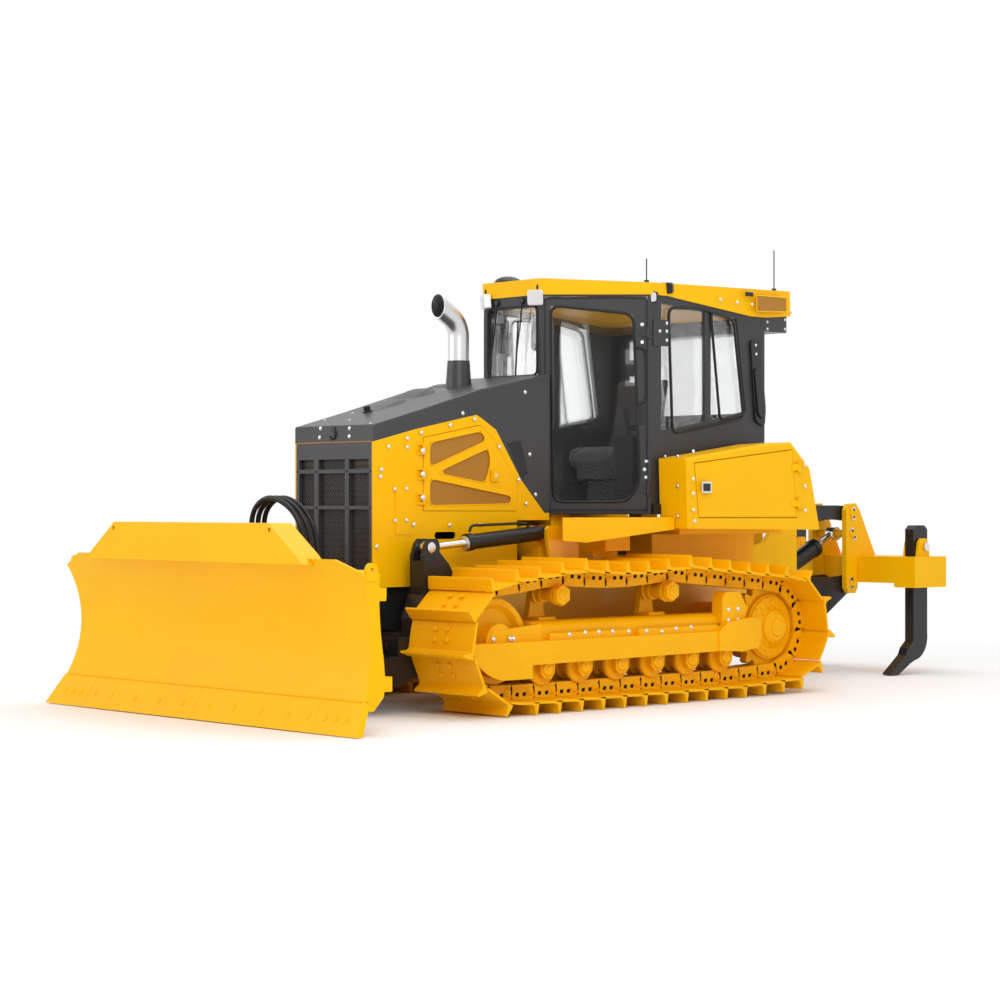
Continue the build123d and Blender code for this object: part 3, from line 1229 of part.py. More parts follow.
guard_sheet = 16.0
ear_x, ear_z, ear_radius, ear_hole = 2944.0, 884.0, 38.0, 14.0
print("moldboard radius", round(mold_radius), "back at z 450", round(mold(450, mold_thick)[0]))
with BuildPart() as blade:
    # curved board, cut to its outline seen from the front
    with BuildSketch(side(-1500)):
        with BuildLine():
            front = ThreePointArc(mold(edge_top_z), mold(mold_deep_z), mold(mold_top_z))
            back = ThreePointArc(mold(edge_top_z, mold_thick), mold(mold_deep_z, mold_thick),
                                 mold(mold_top_z, mold_thick))
            Line(front @ 0, back @ 0)
            Line(front @ 1, back @ 1)
        make_face()
    extrude(amount=span(-1500, 1500))
    # end plates, a hand's width deep, and the box ribs behind the board
    for way in (1, -1):
        low, high = sorted((way * (mold_deep_half - 26), way * mold_corner_half))
        add(plate((*mold_curve(edge_top_z + 10, 900, 8), (2900, 905), (2864, 600), (2842, 400), (2842, 280),
                   (2868, 200), (2935, 128), (2972, 128), (2972, 172)), low, high))
    for low_z, high_z, rear_x in ((226, 306, 2790), (716, 786, 2830)):
        add(plate((*mold_curve(low_z, high_z, 10, 4), (rear_x, high_z), (rear_x, low_z)), -1432, 1432))
    for y in (-1080, -700, 700, 1080):
        add(plate((*mold_curve(226, 786, 10), (2830, 786), (2770, 500), (2790, 226)), y - 9, y + 9))
    for y in (-150, 150):
        add(plate((*mold_curve(226, 640, 10), (2740, 560), (2730, 330), (2790, 226)), y - 12, y + 12))
    # boss for the tilt shaft
    with BuildSketch(Plane.YZ.offset(mast_front + 24)):
        with Locations((0, tilt_z)):
            Circle(96)
    extrude(amount=mold(tilt_z, 10)[0] - mast_front - 24)
    for z in (380, 500):
        add(block((2740, -150, z), (2860, 150, z + 20)))
    with BuildSketch(Plane.YZ.offset(mast_front)):
        with Locations((0, tilt_z)):
            Circle(tilt_shaft + fit_gap)
    extrude(amount=shaft_length + clear / 2 + 2, mode=Mode.SUBTRACT)
    # bracket of the tilt ram's rod, open towards the barrel
    add(plate((*mold_curve(690, 800, 10, 4), (2706, 800), (2706, 690)), 378, 396))
    for x in (2712, 2792):
        with BuildSketch(Plane.YZ.offset(x)):
            with Locations((340, tilt_end[2])):
                RectangleRounded(100, 96, 20)
        extrude(amount=16)
    for x in (2704, 2808):
        with BuildSketch(Plane.YZ.offset(x)):
            with Locations((tilt_end[1], tilt_end[2])):
                Circle(26)
        extrude(amount=8)
    # outline from the front: ends that draw in at mid height, and clipped upper corners
    with BuildSketch(Plane.YZ.offset(2600)):
        with BuildLine():
            left_end = ThreePointArc((edge_top_half, edge_top_z - 60), (mold_deep_half, mold_deep_z),
                                     (mold_corner_half, mold_corner_z))
            right_end = ThreePointArc((-edge_top_half, edge_top_z - 60), (-mold_deep_half, mold_deep_z),
                                      (-mold_corner_half, mold_corner_z))
            Line(left_end @ 0, right_end @ 0)
            Polyline(left_end @ 1, (mold_top_half, mold_top_z + 30), (-mold_top_half, mold_top_z + 30),
                     right_end @ 1)
        make_face()
    extrude(amount=600, mode=Mode.INTERSECT)
    # spill guard: leans forward as it rises, with swept ends and a lifting eye at each end
    guard_foot_x = mold_top_x - 36
    lean_plate = plate(((guard_foot_x, mold_top_z - 20), (guard_top_x, guard_top_z),
                        (guard_top_x - guard_sheet, guard_top_z),
                        (guard_foot_x - guard_sheet, mold_top_z - 20)),
                       -guard_low_half - 60, guard_low_half + 60)
    with BuildPart() as guard_front:
        with BuildSketch(Plane.YZ.offset(guard_foot_x - 60)):
            with BuildLine():
                Polyline((-guard_low_half - 60, mold_top_z - 30), (-guard_low_half, mold_top_z + 22),
                         (-guard_top_half - 40, guard_top_z - 30), (-guard_top_half, guard_top_z + 1),
                         (guard_top_half, guard_top_z + 1), (guard_top_half + 40, guard_top_z - 30),
                         (guard_low_half, mold_top_z + 22), (guard_low_half + 60, mold_top_z - 30),
                         close=True)
            make_face()
            with Locations((guard_top_half + 4, guard_top_z - 34), (-guard_top_half - 4, guard_top_z - 34)):
                Circle(13, mode=Mode.SUBTRACT)
        extrude(amount=160)
    add(lean_plate & guard_front.part)
    # rounded lifting ears on top of the end plates
    for way in (1, -1):
        low, high = sorted((way * (mold_corner_half - 24), way * (mold_corner_half - 2)))
        ear = plate(((ear_x - ear_radius, ear_z - 60), (ear_x + ear_radius, ear_z - 60),
                     (ear_x + ear_radius, ear_z), (ear_x - ear_radius, ear_z)), low, high)
        ear += rod_y(ear_x, ear_z, ear_radius, low, high)
        add(ear - rod_y(ear_x, ear_z, ear_hole, low - 1, high + 1))
write(blade.part, "blade")
print("blade solids", len(blade.part.solids()))

edge_joints = (-edge_bottom_half, -1110.0, 0.0, 1110.0, edge_bottom_half)
with BuildPart() as cutting_edge:
    slope = math.atan2(edge_top_z - edge_bottom_z, edge_top_x - edge_bottom_x)
    rise, lean = math.sin(slope), math.cos(slope)
    for low_y, high_y in zip(edge_joints[:-1], edge_joints[1:]):
        add(plate(((edge_bottom_x, edge_bottom_z), (edge_top_x, edge_top_z),
                   (edge_top_x - rise * edge_thick, edge_top_z + lean * edge_thick),
                   (edge_bottom_x - 2 * edge_thick, edge_bottom_z)), low_y + 1, high_y - 1))
    with BuildSketch(Plane.YZ.offset(2900)):
        with BuildLine():
            Polyline((-edge_bottom_half, 0), (-edge_top_half, edge_top_z), (-edge_top_half, 260),
                     (edge_top_half, 260), (edge_top_half, edge_top_z), (edge_bottom_half, 0), close=True)
        make_face()
    extrude(amount=300, mode=Mode.INTERSECT)
write(cutting_edge.part, "cutting_edge")
print("cutting edge solids", len(cutting_edge.part.solids()))

# ---------------------------------------------------------------- ripper
link_pin, link_hub, ram_head_pin = 32.0, 46.0, 28.0


def pin_bores(z):
    """Bores at a link's two pins, as plate() takes them."""
    return tuple((x, z, link_pin + fit_gap) for x in (ripper_front_x, ripper_rear_x))


tower_outline = ((hull_rear, 520), (-1700, 520), (-1960, 590), (-2035, 600), (-2050, 700), (-2050, 1120),
                 (-2035, 1200), (-1990, 1235), (-1940, 1225), (-1700, 960), (-1400, 900), (hull_rear, 900))
with BuildPart() as ripper_tower:
    for low, high in ((140, 180), (-180, -140)):
        add(plate(tower_outline, low, high))
    add(plate(((hull_rear, 540), (-1640, 540), (-1700, 640), (-1700, 860), (-1620, 900), (hull_rear, 900)),
              -150, 150))
    lug = ((-1660, 640), (-1905, 640), (-1935, 655), (-2010, 655), (-2034, 682), (-2036, 712), (-2010, 742),
           (-1960, 740), (-1660, 820))
    for low, high in ((42, 70), (-70, -42)):
        add(plate(lug, low, high))
    add(rod_y(ripper_base_x, ripper_base_z, ram_head_pin, -70, 70))
    for low, high in ((44, 190), (-190, -44)):
        add(rod_y(ripper_front_x, ripper_low_z, link_pin, low, high))
    add(rod_y(ripper_front_x, ripper_top_z, link_pin, -190, 190))
write(ripper_tower.part, "ripper_tower")
print("tower solids", len(ripper_tower.part.solids()))

lower_outline = ((-1925, 670), (-1945, 700), (-1980, 712), (-2200, 700), (-2500, 700), (-2680, 712),
                 (-2715, 700), (-2738, 665), (-2738, 630), (-2710, 590), (-2450, 430), (-2350, 400),
                 (-2230, 410), (-2150, 440), (-1950, 590), (-1925, 625))
with BuildPart() as lower_link:
    for low, high in ((85, 125), (-125, -85)):
        add(plate(lower_outline, low, high, holes=pin_bores(ripper_low_z)))
    add(plate(((-2160, 470), (-2240, 425), (-2440, 450), (-2570, 540), (-2560, 600), (-2440, 640),
               (-2200, 600)), -100, 100))
write(lower_link.part, "ripper_lower_link")

upper_outline = ((-1925, 1165), (-1940, 1205), (-1980, 1221), (-2100, 1225), (-2560, 1225), (-2680, 1221),
                 (-2725, 1200), (-2738, 1165), (-2725, 1130), (-2680, 1110), (-2560, 1120), (-2100, 1120),
                 (-1980, 1110), (-1940, 1125))
with BuildPart() as upper_link:
    for low, high in ((92, 130), (-130, -92)):
        add(plate(upper_outline, low, high, holes=pin_bores(ripper_top_z)))
    add(plate(((-2060, 1205), (-2060, 1225), (-2600, 1225), (-2600, 1205)), -100, 100))
    add(rod_y(ripper_rear_x, ripper_top_z, link_hub, -100, 100))
    for x, z, radius in pin_bores(ripper_top_z):
        add(rod_y(x, z, radius, -140, 140), mode=Mode.SUBTRACT)
write(upper_link.part, "ripper_upper_link")

upright_outline = ((-2608, 1190), (-2640, 1235), (-2720, 1240), (-2762, 1195), (-2950, 853), (-2950, 840),
                   (-2740, 800), (-2742, 620), (-2715, 580), (-2645, 580), (-2612, 620))
with BuildPart() as carriage:
    for low, high in ((140, 180), (-180, -140)):
        add(plate(upright_outline, low, high))
    # hollow beam with slots for three shanks
    with BuildSketch(side(-beam_half)):
        with Locations(((beam_front_x + beam_rear_x) / 2, (beam_low_z + beam_top_z) / 2)):
            Rectangle(beam_front_x - beam_rear_x, beam_top_z - beam_low_z)
    extrude(amount=span(-beam_half, beam_half))
    pocket_x = shank_rear_x + shank_width / 2
    for y in (-shank_y, 0, shank_y):
        with BuildSketch(Plane.XY.offset(beam_low_z - 1)):
            with Locations((pocket_x, y)):
                Rectangle(shank_width + 2, shank_thick + 2)
        extrude(amount=beam_top_z - beam_low_z + 2, mode=Mode.SUBTRACT)
    # hollow bays between the pockets, open underneath
    pocket_wall = shank_thick / 2 + 1 + beam_wall
    inner_bay, outer_bay = upright_inner + upright_thick + beam_wall, shank_y - pocket_wall
    for low_y, high_y in ((-outer_bay, -inner_bay), (inner_bay, outer_bay)):
        add(block((beam_rear_x + beam_wall, low_y, beam_low_z - 1),
                  (beam_front_x - beam_wall, high_y, beam_top_z - beam_wall)), mode=Mode.SUBTRACT)
    # thicker end boxes round the outer pockets
    for way in (1, -1):
        low, high = sorted((way * (shank_y - pocket_wall), way * beam_half))
        ring = block((beam_rear_x, low, beam_low_z - 30), (beam_front_x, high, beam_low_z))
        ring -= block((shank_rear_x - 1, way * shank_y - shank_thick / 2 - 1, beam_low_z - 31),
                      (shank_rear_x + shank_width + 1, way * shank_y + shank_thick / 2 + 1, beam_low_z + 1))
        add(ring)
    # ears that hold the shanks' pins
    ear_outline = [(pocket_x + dx, beam_top_z + dz) for dx, dz in (
        (-70, -5), (-50, 107), (-25, 132), (25, 132), (50, 107), (70, -5))]
    for y in (-shank_y, 0, shank_y):
        for low in (y - shank_thick / 2 - clear - 25, y + shank_thick / 2 + clear):
            add(plate(ear_outline, low, low + 25))
    for y in (-shank_y, shank_y):
        add(rod_y(pocket_x, shank_pin_z, shank_pin, y - shank_thick / 2 - 40, y + shank_thick / 2 + 40))
    # cross web between the uprights behind the links
    add(block((-2775, -150, 700), (beam_front_x + 1, 150, beam_top_z)))
    # pins of the two links and heads of the ram's pin
    add(rod_y(ripper_rear_x, ripper_low_z, link_pin, -190, 190))
    add(rod_y(ripper_rear_x, ripper_top_z, link_pin, -190, 190))
    for low, high in ((38, 190), (-190, -38)):
        add(rod_y(ripper_rear_x, ripper_rod_z, ram_head_pin, low, high))
write(carriage.part, "ripper_carriage")
print("carriage solids", len(carriage.part.solids()))

shank_front_x, tip_x = shank_rear_x + shank_width, shank_rear_x + shank_width + 262
with BuildPart() as shanks:
    for y in (-shank_y, shank_y):
        with BuildSketch(side(y - shank_thick / 2)):
            with BuildLine():
                Polyline((shank_rear_x, 290), (shank_rear_x, 1050), (shank_rear_x + 34, 1080),
                         (shank_rear_x + shank_width - 34, 1080), (shank_front_x, 1050),
                         (shank_front_x, 240), (shank_front_x + 62, 190), (shank_front_x + 88, 140),
                         (tip_x, 14), (tip_x - 6, 3), (tip_x - 92, 3), (shank_front_x + 34, 78),
                         (shank_front_x - 20, 100))
                ThreePointArc((shank_front_x - 20, 100), (shank_rear_x + 38, 158), (shank_rear_x, 290))
            make_face()
            with Locations((pocket_x, shank_pin_z)):
                Circle(shank_pin + seat_gap, mode=Mode.SUBTRACT)
        extrude(amount=span(0, shank_thick))
write(shanks.part, "ripper_shanks")

# ---------------------------------------------------------------- hoses of the blade's rams
hose_radius = 16.0
hose_rise = 1045.0


def cord(points, radii, radius):
    """A round hose along straight runs joined by tangent arcs."""
    with BuildPart() as piece:
        with BuildLine() as path:
            FilletPolyline(*points, radius=radii)
        with BuildSketch(Plane(origin=path.line @ 0, z_dir=path.line % 0)):
            Circle(radius)
        sweep()
    return piece.part


def bend_radii(points):
    """Fillet radii of a hose: 0.45 of the shorter run over the tangent of half the turn."""
    radii = []
    for before, here, after in zip(points, points[1:], points[2:]):
        into, out = Vector(*here) - Vector(*before), Vector(*after) - Vector(*here)
        half_turn = math.radians(into.get_angle(out)) / 2
        radii.append(round(0.45 * min(into.length, out.length) / math.tan(half_turn), 1))
    return radii


for number, (dx, dy) in enumerate(((0, 0), (42, -6), (84, -12))):
    foot_x, foot_y = 2262 + dx / 2, -34 * number
    points = [(foot_x, 285 + foot_y, 370), (foot_x, 285 + foot_y, 620), (2400 + dx, 298 + dy, 900),
              (2445 + dx, 300 + dy, hose_rise + 130), (2500 + dx, 75 + dy, hose_rise + 260),
              (2480 + dx, -150 + dy, hose_rise + 130), (2420 + dx, -150 + dy, 900),
              (foot_x, -135 + foot_y, 620), (foot_x, -135 + foot_y, 370)]
    radii = bend_radii(points)
    print("hose", number + 1, [tuple(round(v, 1) for v in p) for p in points], "radii", radii)
    write(cord(points, radii, hose_radius), f"hose_{number + 1}")
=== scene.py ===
import bpy
import math
import numpy as np
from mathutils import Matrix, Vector


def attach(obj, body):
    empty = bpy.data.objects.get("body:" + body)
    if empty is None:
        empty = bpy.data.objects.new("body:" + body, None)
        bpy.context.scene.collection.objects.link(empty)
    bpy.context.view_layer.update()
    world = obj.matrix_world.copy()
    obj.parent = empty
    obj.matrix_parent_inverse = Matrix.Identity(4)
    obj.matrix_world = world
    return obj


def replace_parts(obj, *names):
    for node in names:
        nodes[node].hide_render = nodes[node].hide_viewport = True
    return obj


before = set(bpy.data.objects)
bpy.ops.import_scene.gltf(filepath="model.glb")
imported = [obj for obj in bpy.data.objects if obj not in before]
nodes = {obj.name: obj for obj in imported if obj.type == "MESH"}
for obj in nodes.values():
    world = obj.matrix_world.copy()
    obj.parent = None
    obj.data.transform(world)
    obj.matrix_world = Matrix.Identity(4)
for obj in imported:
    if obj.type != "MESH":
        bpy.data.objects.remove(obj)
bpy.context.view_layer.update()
collection = bpy.context.scene.collection
print("frame loaded,", len(nodes), "nodes")

# camera at standing eye height, off the machine's left front corner
view = {"place": (10.998, 11.187, 1.244), "heading": 42.69, "lens": 85.03, "sensor": 36.0, "shiftY": 0.0028,
        "farthest": 200.0}
cameraData = bpy.data.cameras.new("viewCamera")
cameraData.lens = view["lens"]
cameraData.sensor_width = view["sensor"]
cameraData.shift_y = view["shiftY"]
cameraData.clip_end = view["farthest"]
camera = bpy.data.objects.new("viewCamera", cameraData)
camera.location = view["place"]
camera.rotation_euler = (math.radians(90), 0, math.radians(180 - view["heading"]))
collection.objects.link(camera)
bpy.context.scene.camera = camera
bpy.context.scene.view_settings.view_transform = "Standard"

# three hydraulic hoses that arch from the push frame's plate and back to it
hoses = {"diameter": 0.032, "lengths": (2.13, 2.145, 2.166), "spread": (0.042, -0.006, 0), "row": -0.034,
         "foot": (2.262, 0.285, 0.37), "farFoot": (2.262, -0.135, 0.37), "leg": (0, 0, 0.25),
         "arch": ((2.4, 0.298, 0.9), (2.445, 0.3, 1.175), (2.5, 0.075, 1.305), (2.48, -0.15, 1.175),
                  (2.42, -0.15, 0.9))}
hoseCurves = []


def hoseRoute(number):
    # up out of the plate, over in one arch and down again; each hose stands beside the last
    spread, leg = np.array(hoses["spread"]) * number, np.array(hoses["leg"])
    shift = np.array((spread[0] / 2, hoses["row"] * number, 0))
    foot, farFoot = hoses["foot"] + shift, hoses["farFoot"] + shift
    return np.vstack((foot, foot + leg, np.array(hoses["arch"]) + spread, farFoot + leg, farFoot))


for number, length in enumerate(hoses["lengths"]):
    points = hoseRoute(number)
    curve = bpy.data.curves.new(f"hose{number + 1}", "CURVE")
    curve.dimensions = "3D"
    curve.bevel_depth = 1.0
    curve.bevel_resolution = 3
    curve.resolution_u = 10
    curve.use_fill_caps = True
    spline = curve.splines.new("NURBS")
    spline.points.add(len(points) - 1)
    spline.points.foreach_set("co", np.c_[points, np.ones(len(points))].ravel())
    # the section's radius is the points' own times a bevel of one, so that the curve's box stays tight
    spline.points.foreach_set("radius", np.full(len(points), hoses["diameter"] / 2))
    spline.order_u = 3
    spline.use_endpoint_u = True
    hose = bpy.data.objects.new(f"hose{number + 1}", curve)
    collection.objects.link(hose)
    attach(hose, "push_frame")
    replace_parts(hose, f"hose_{number + 1}")
    hoseCurves.append(curve)
print("camera and hoses done")


def fill(tree, node, values):
    # each input named takes another node's output, a colour or a plain number
    for key, value in values.items():
        socket = node.inputs[key]
        if isinstance(value, bpy.types.NodeSocket):
            tree.links.new(value, socket)
        else:
            socket.default_value = (*value, 1) if socket.type == "RGBA" else value


def newNode(tree, kind, values, output, **settings):
    # a node with its settings and inputs in place; what comes back is one of its outputs
    node = tree.nodes.new("ShaderNode" + kind)
    for name, value in settings.items():
        setattr(node, name, value)
    fill(tree, node, values)
    return node.outputs[output]


def newMaterial(name):
    # a principled material and its Object coordinates
    material = bpy.data.materials.new(name)
    material.use_nodes = True
    tree = material.node_tree
    coords = newNode(tree, "TexCoord", {}, "Object")
    return material, tree, tree.nodes["Principled BSDF"], coords


def noise(tree, coords, scale, detail=3.0, rough=0.5):
    # a sum of octaves of noise, each one twice as fine and rough times as strong as the last
    return newNode(tree, "TexNoise", {"Vector": coords, "Scale": scale, "Detail": detail, "Roughness": rough},
                   "Fac")


def ramp(tree, value, low, high, lowColour, highColour):
    # a straight blend from one colour at low to the other at high
    node = tree.nodes.new("ShaderNodeValToRGB")
    for element, position, colour in zip(node.color_ramp.elements, (low, high), (lowColour, highColour)):
        element.position = position
        element.color = (*colour, 1)
    fill(tree, node, {"Fac": value})
    return node.outputs["Color"]


def remap(tree, value, low, high, outLow, outHigh):
    # outLow plus (outHigh - outLow) times (value - low) over (high - low)
    return newNode(tree, "MapRange", {"Value": value, "From Min": low, "From Max": high, "To Min": outLow,
                                      "To Max": outHigh}, "Result")


def calculate(tree, operation, first, second):
    # one arithmetic step between two values
    return newNode(tree, "Math", {0: first, 1: second}, 0, operation=operation)


def part(tree, coords, axis):
    # one coordinate of a position
    return newNode(tree, "SeparateXYZ", {0: coords}, axis)


def mixColours(tree, factor, first, second, blend="MIX"):
    # the first colour at factor 0, and at factor 1 the second one or the blend of both
    return newNode(tree, "Mix", {0: factor, 6: first, 7: second}, 2, data_type="RGBA", blend_type=blend)


def bump(tree, height, strength, distance):
    # the normal, leaned by the slope of a height
    return newNode(tree, "Bump", {"Height": height, "Strength": strength, "Distance": distance}, "Normal")


def crossedWaves(tree, coords, axes, scale, operation):
    # sine waves along two axes, taken together by one arithmetic step
    waves = [newNode(tree, "TexWave", {"Vector": coords, "Scale": scale}, "Fac", bands_direction=axis)
             for axis in axes]
    return calculate(tree, operation, *waves)


sprayed = {"drift": (1.7, 4.0, 0.6), "driftSpan": (0.3, 0.72), "peelSpan": (0.3, 0.7), "smoother": 0.04,
           "rougher": 0.06, "peelDepth": 0.0006, "coatRough": 0.15}


def orangePeel(tree, coords, rough, grain, height):
    # fine noise that moves the roughness a little and leans the normal
    fine = noise(tree, coords, grain, 2.0)
    return {"Roughness": remap(tree, fine, *sprayed["peelSpan"], rough - sprayed["smoother"],
                               rough + sprayed["rougher"]),
            "Normal": bump(tree, fine, height, sprayed["peelDepth"])}


def paint(name, colour, dark, rough=0.38, coat=0.1, grain=240.0, peel=0.06, shine=0.3):
    # sprayed paint: a slow drift between two colours, faint orange peel and a thin clear coat
    material, tree, shader, coords = newMaterial(name)
    drift = noise(tree, coords, *sprayed["drift"])
    fill(tree, shader, {"Base Color": ramp(tree, drift, *sprayed["driftSpan"], dark, colour),
                        **orangePeel(tree, coords, rough, grain, peel), "Specular IOR Level": shine,
                        "Coat Weight": coat, "Coat Roughness": sprayed["coatRough"]})
    return material


turnedSteel = {"grain": 300.0, "markSpan": (0.25, 0.75), "markDark": 0.85, "roughSpan": (0.2, 0.8),
               "rougher": 0.12, "bump": 0.05, "depth": 0.0004, "boot": (0.035, 0.035, 0.037)}


def steel(name, colour, rough, boot=None):
    # turned or plated steel with faint tool marks; below the height boot it is dark plastic instead
    material, tree, shader, coords = newMaterial(name)
    marks = noise(tree, coords, turnedSteel["grain"], 2.0)
    dark = tuple(c * turnedSteel["markDark"] for c in colour)
    base = ramp(tree, marks, *turnedSteel["markSpan"], dark, colour)
    metal = 1.0
    if boot is not None:
        metal = calculate(tree, "GREATER_THAN", part(tree, coords, "Z"), boot)
        base = mixColours(tree, metal, turnedSteel["boot"], base)
    fill(tree, shader, {"Base Color": base, "Metallic": metal,
                        "Roughness": remap(tree, marks, *turnedSteel["roughSpan"], rough,
                                           rough + turnedSteel["rougher"]),
                        "Normal": bump(tree, marks, turnedSteel["bump"], turnedSteel["depth"])})
    return material


def twoPaints(name, axis, edge, belowColour, aboveColour, rough=0.36, coat=0.15, grain=240.0, peel=0.06):
    # one casting sprayed in two colours that meet at a plane, both darkened a little by a slow drift
    material, tree, shader, coords = newMaterial(name)
    side = calculate(tree, "GREATER_THAN", part(tree, coords, axis), edge)
    base = mixColours(tree, side, belowColour, aboveColour)
    drift = noise(tree, coords, *sprayed["drift"])
    shade = ramp(tree, drift, *sprayed["driftSpan"], (0.9, 0.9, 0.9), (1.0, 1.0, 1.0))
    fill(tree, shader, {"Base Color": mixColours(tree, 1.0, base, shade, "MULTIPLY"),
                        **orangePeel(tree, coords, rough, grain, peel), "Coat Weight": coat})
    return material


def wovenWire(name, wire, holeShade, scale, turn=0.785):
    # fine mesh: two crossed sets of wires, seen as light threads over gaps in a darker colour, the painted
    # shade seen through the holes
    material, tree, shader, coords = newMaterial(name)
    slanted = newNode(tree, "Mapping", {"Vector": coords, "Rotation": (0, turn, 0)}, "Vector")
    woven = crossedWaves(tree, slanted, "XZ", scale, "MAXIMUM")
    fill(tree, shader, {"Base Color": ramp(tree, woven, 0.35, 0.95, holeShade, wire), "Roughness": 0.6,
                        "Normal": bump(tree, woven, 0.5, 0.002)})
    return material


yellow, yellowShade = (0.97, 0.52, 0.0), (0.92, 0.485, 0.0)
black, blackShade = (0.014, 0.014, 0.015), (0.009, 0.009, 0.010)
yellowPaint = paint("yellowPaint", yellow, yellowShade, coat=0.03, shine=0.12)
trackYellow = paint("trackYellow", (0.97, 0.49, 0.0), (0.88, 0.43, 0.0), rough=0.46, coat=0.02, grain=110.0,
                    peel=0.14, shine=0.15)
charcoal = paint("charcoal", (0.050, 0.050, 0.053), (0.040, 0.040, 0.043), rough=0.4, coat=0.12)
cabCharcoal = paint("cabCharcoal", (0.040, 0.040, 0.043), (0.030, 0.030, 0.033), rough=0.42, coat=0.1)
blackPaint = paint("blackPaint", black, blackShade, rough=0.36, coat=0.2)
hullPaint = twoPaints("hullPaint", "X", 1.39, (0.95, 0.50, 0.003), black)
rodChrome = steel("rodChrome", (0.83, 0.83, 0.84), 0.14)
zincPlate = steel("zincPlate", (0.78, 0.79, 0.80), 0.32)
stackSteel = steel("stackSteel", (0.74, 0.74, 0.75), 0.24, boot=2.15)
plastic = paint("plastic", (0.03, 0.03, 0.032), (0.022, 0.022, 0.024), rough=0.55, coat=0.0, grain=420.0,
                peel=0.2)
rubber = paint("rubber", (0.012, 0.012, 0.012), (0.008, 0.008, 0.008), rough=0.42, coat=0.1, grain=350.0,
               peel=0.15)
lampGlass = paint("lampGlass", (0.80, 0.80, 0.80), (0.62, 0.62, 0.63), rough=0.12, coat=0.8, grain=60.0,
                  peel=0.2)
# the second colour of each mesh is the painted shade seen through its holes
panelMesh = wovenWire("panelMesh", (0.46, 0.20, 0.010), (0.33, 0.14, 0.008), 42.0)
# near-black backing behind the grille: painted shade of the hollow nose, with a faint woven texture
grilleShadeBack = wovenWire("grilleShadeBack", (0.05, 0.03, 0.012), (0.012, 0.010, 0.008), 12.0)
# near-black matt paint that stands for shade: painted shade in the links' bolt windows, on the drive's slots
# and on the engine in its closed bay
paintedShade = paint("paintedShade", (0.006, 0.006, 0.006), (0.003, 0.003, 0.003), rough=0.8, coat=0.0)
for curve in hoseCurves:
    curve.materials.append(rubber)


def glassPane():
    # clear cab glass with a faint tint; it lets the cab's inside and the far windows show
    material, tree, shader, coords = newMaterial("tintedGlass")
    haze = noise(tree, coords, 0.9, 2.0)
    fill(tree, shader, {"Base Color": ramp(tree, haze, 0.3, 0.7, (0.80, 0.84, 0.85), (0.90, 0.93, 0.94)),
                        "Roughness": 0.02, "IOR": 1.45, "Transmission Weight": 1.0, "Alpha": 0.25})
    return material


def seatCloth():
    # woven upholstery: two crossed waves, multiplied
    material, tree, shader, coords = newMaterial("seatCloth")
    woven = crossedWaves(tree, coords, "YZ", 90.0, "MULTIPLY")
    fill(tree, shader, {"Base Color": ramp(tree, woven, 0.1, 0.9, (0.03, 0.03, 0.032), (0.075, 0.075, 0.08)),
                        "Roughness": 0.85, "Sheen Weight": 0.3, "Normal": bump(tree, woven, 0.4, 0.001)})
    return material


tintedGlass = glassPane()
clothDark = seatCloth()

# each solid's finish; a star stands for left and right
finishes = (
    (trackYellow, "sprockets idlers rollers track_frames track_*"),
    (yellowPaint, "side_panel_* cab_roof rear_tank_* platforms ripper_tower engine_door_* access_door_* "
                  "blade cutting_edge ripper_carriage"),
    (hullPaint, "main_frame"), (charcoal, "hood front_grille roof_intake"), (cabCharcoal, "cab_frame door_*"),
    # the engine takes the near-black painted shade of its closed bay
    (paintedShade, "engine"), (stackSteel, "exhaust_stack"), (tintedGlass, "cab_glass door_glass_*"),
    (clothDark, "seat"), (plastic, "consoles"), (rodChrome, "lift_rod_* angle_rod_* tilt_rod ripper_rod"),
    (blackPaint, "roof_fittings push_frame blade_swivel lift_barrel_* angle_barrel_* tilt_barrel "
                 "ripper_barrel ripper_lower_link ripper_upper_link ripper_shanks"))
sides = (("left", 1), ("right", -1))
for finish, names in finishes:
    for side, way in sides:
        for name in names.replace("*", side).split():
            materials = nodes[name].data.materials
            materials.clear()
            materials.append(finish)
print("materials and finishes done")


def gridFaces(rows, columns, wrapRows=False, wrapColumns=False):
    # quads between neighbouring points of a grid, as one array
    lastRow, lastColumn = rows - (not wrapRows), columns - (not wrapColumns)
    i, j = np.meshgrid(np.arange(lastRow), np.arange(lastColumn), indexing="ij")
    i, j = i.ravel(), j.ravel()
    nextI, nextJ = (i + 1) % rows, (j + 1) % columns
    return np.stack((i * columns + j, nextI * columns + j, nextI * columns + nextJ, i * columns + nextJ), 1)


def makePiece(name, points, faceSets, body, material, smooth=False, bevel=0.0):
    # a mesh object at the origin; faceSets holds arrays of faces, one array for each number of corners
    mesh = bpy.data.meshes.new(name)
    mesh.from_pydata(np.asarray(points, float).reshape(-1, 3).tolist(), [],
                     [face for faces in faceSets for face in np.asarray(faces, int).tolist()])
    mesh.materials.append(material)
    if smooth:
        mesh.shade_smooth()
        mesh.set_sharp_from_angle(angle=math.radians(35))
    piece = bpy.data.objects.new(name, mesh)
    collection.objects.link(piece)
    if bevel:
        rounder = piece.modifiers.new("edges", "BEVEL")
        rounder.width = bevel
        rounder.segments = 2
        rounder.limit_method = "ANGLE"
    if body:
        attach(piece, body)
    return piece


def turned(profile, sides):
    # a turned shape about z: ring k has the radius and height of profile row k, and both ends are closed
    profile = np.asarray(profile, float)
    angles = np.arange(sides) * 2 * math.pi / sides
    points = np.stack((profile[:, :1] * np.cos(angles), profile[:, :1] * np.sin(angles),
                       profile[:, 1:] + 0 * angles), 2).reshape(-1, 3)
    rows = len(profile)
    quads = gridFaces(rows, sides, wrapColumns=True)[:, ::-1]
    ends = np.stack((np.arange(sides)[::-1], np.arange(sides) + (rows - 1) * sides))
    return points, [quads, ends]


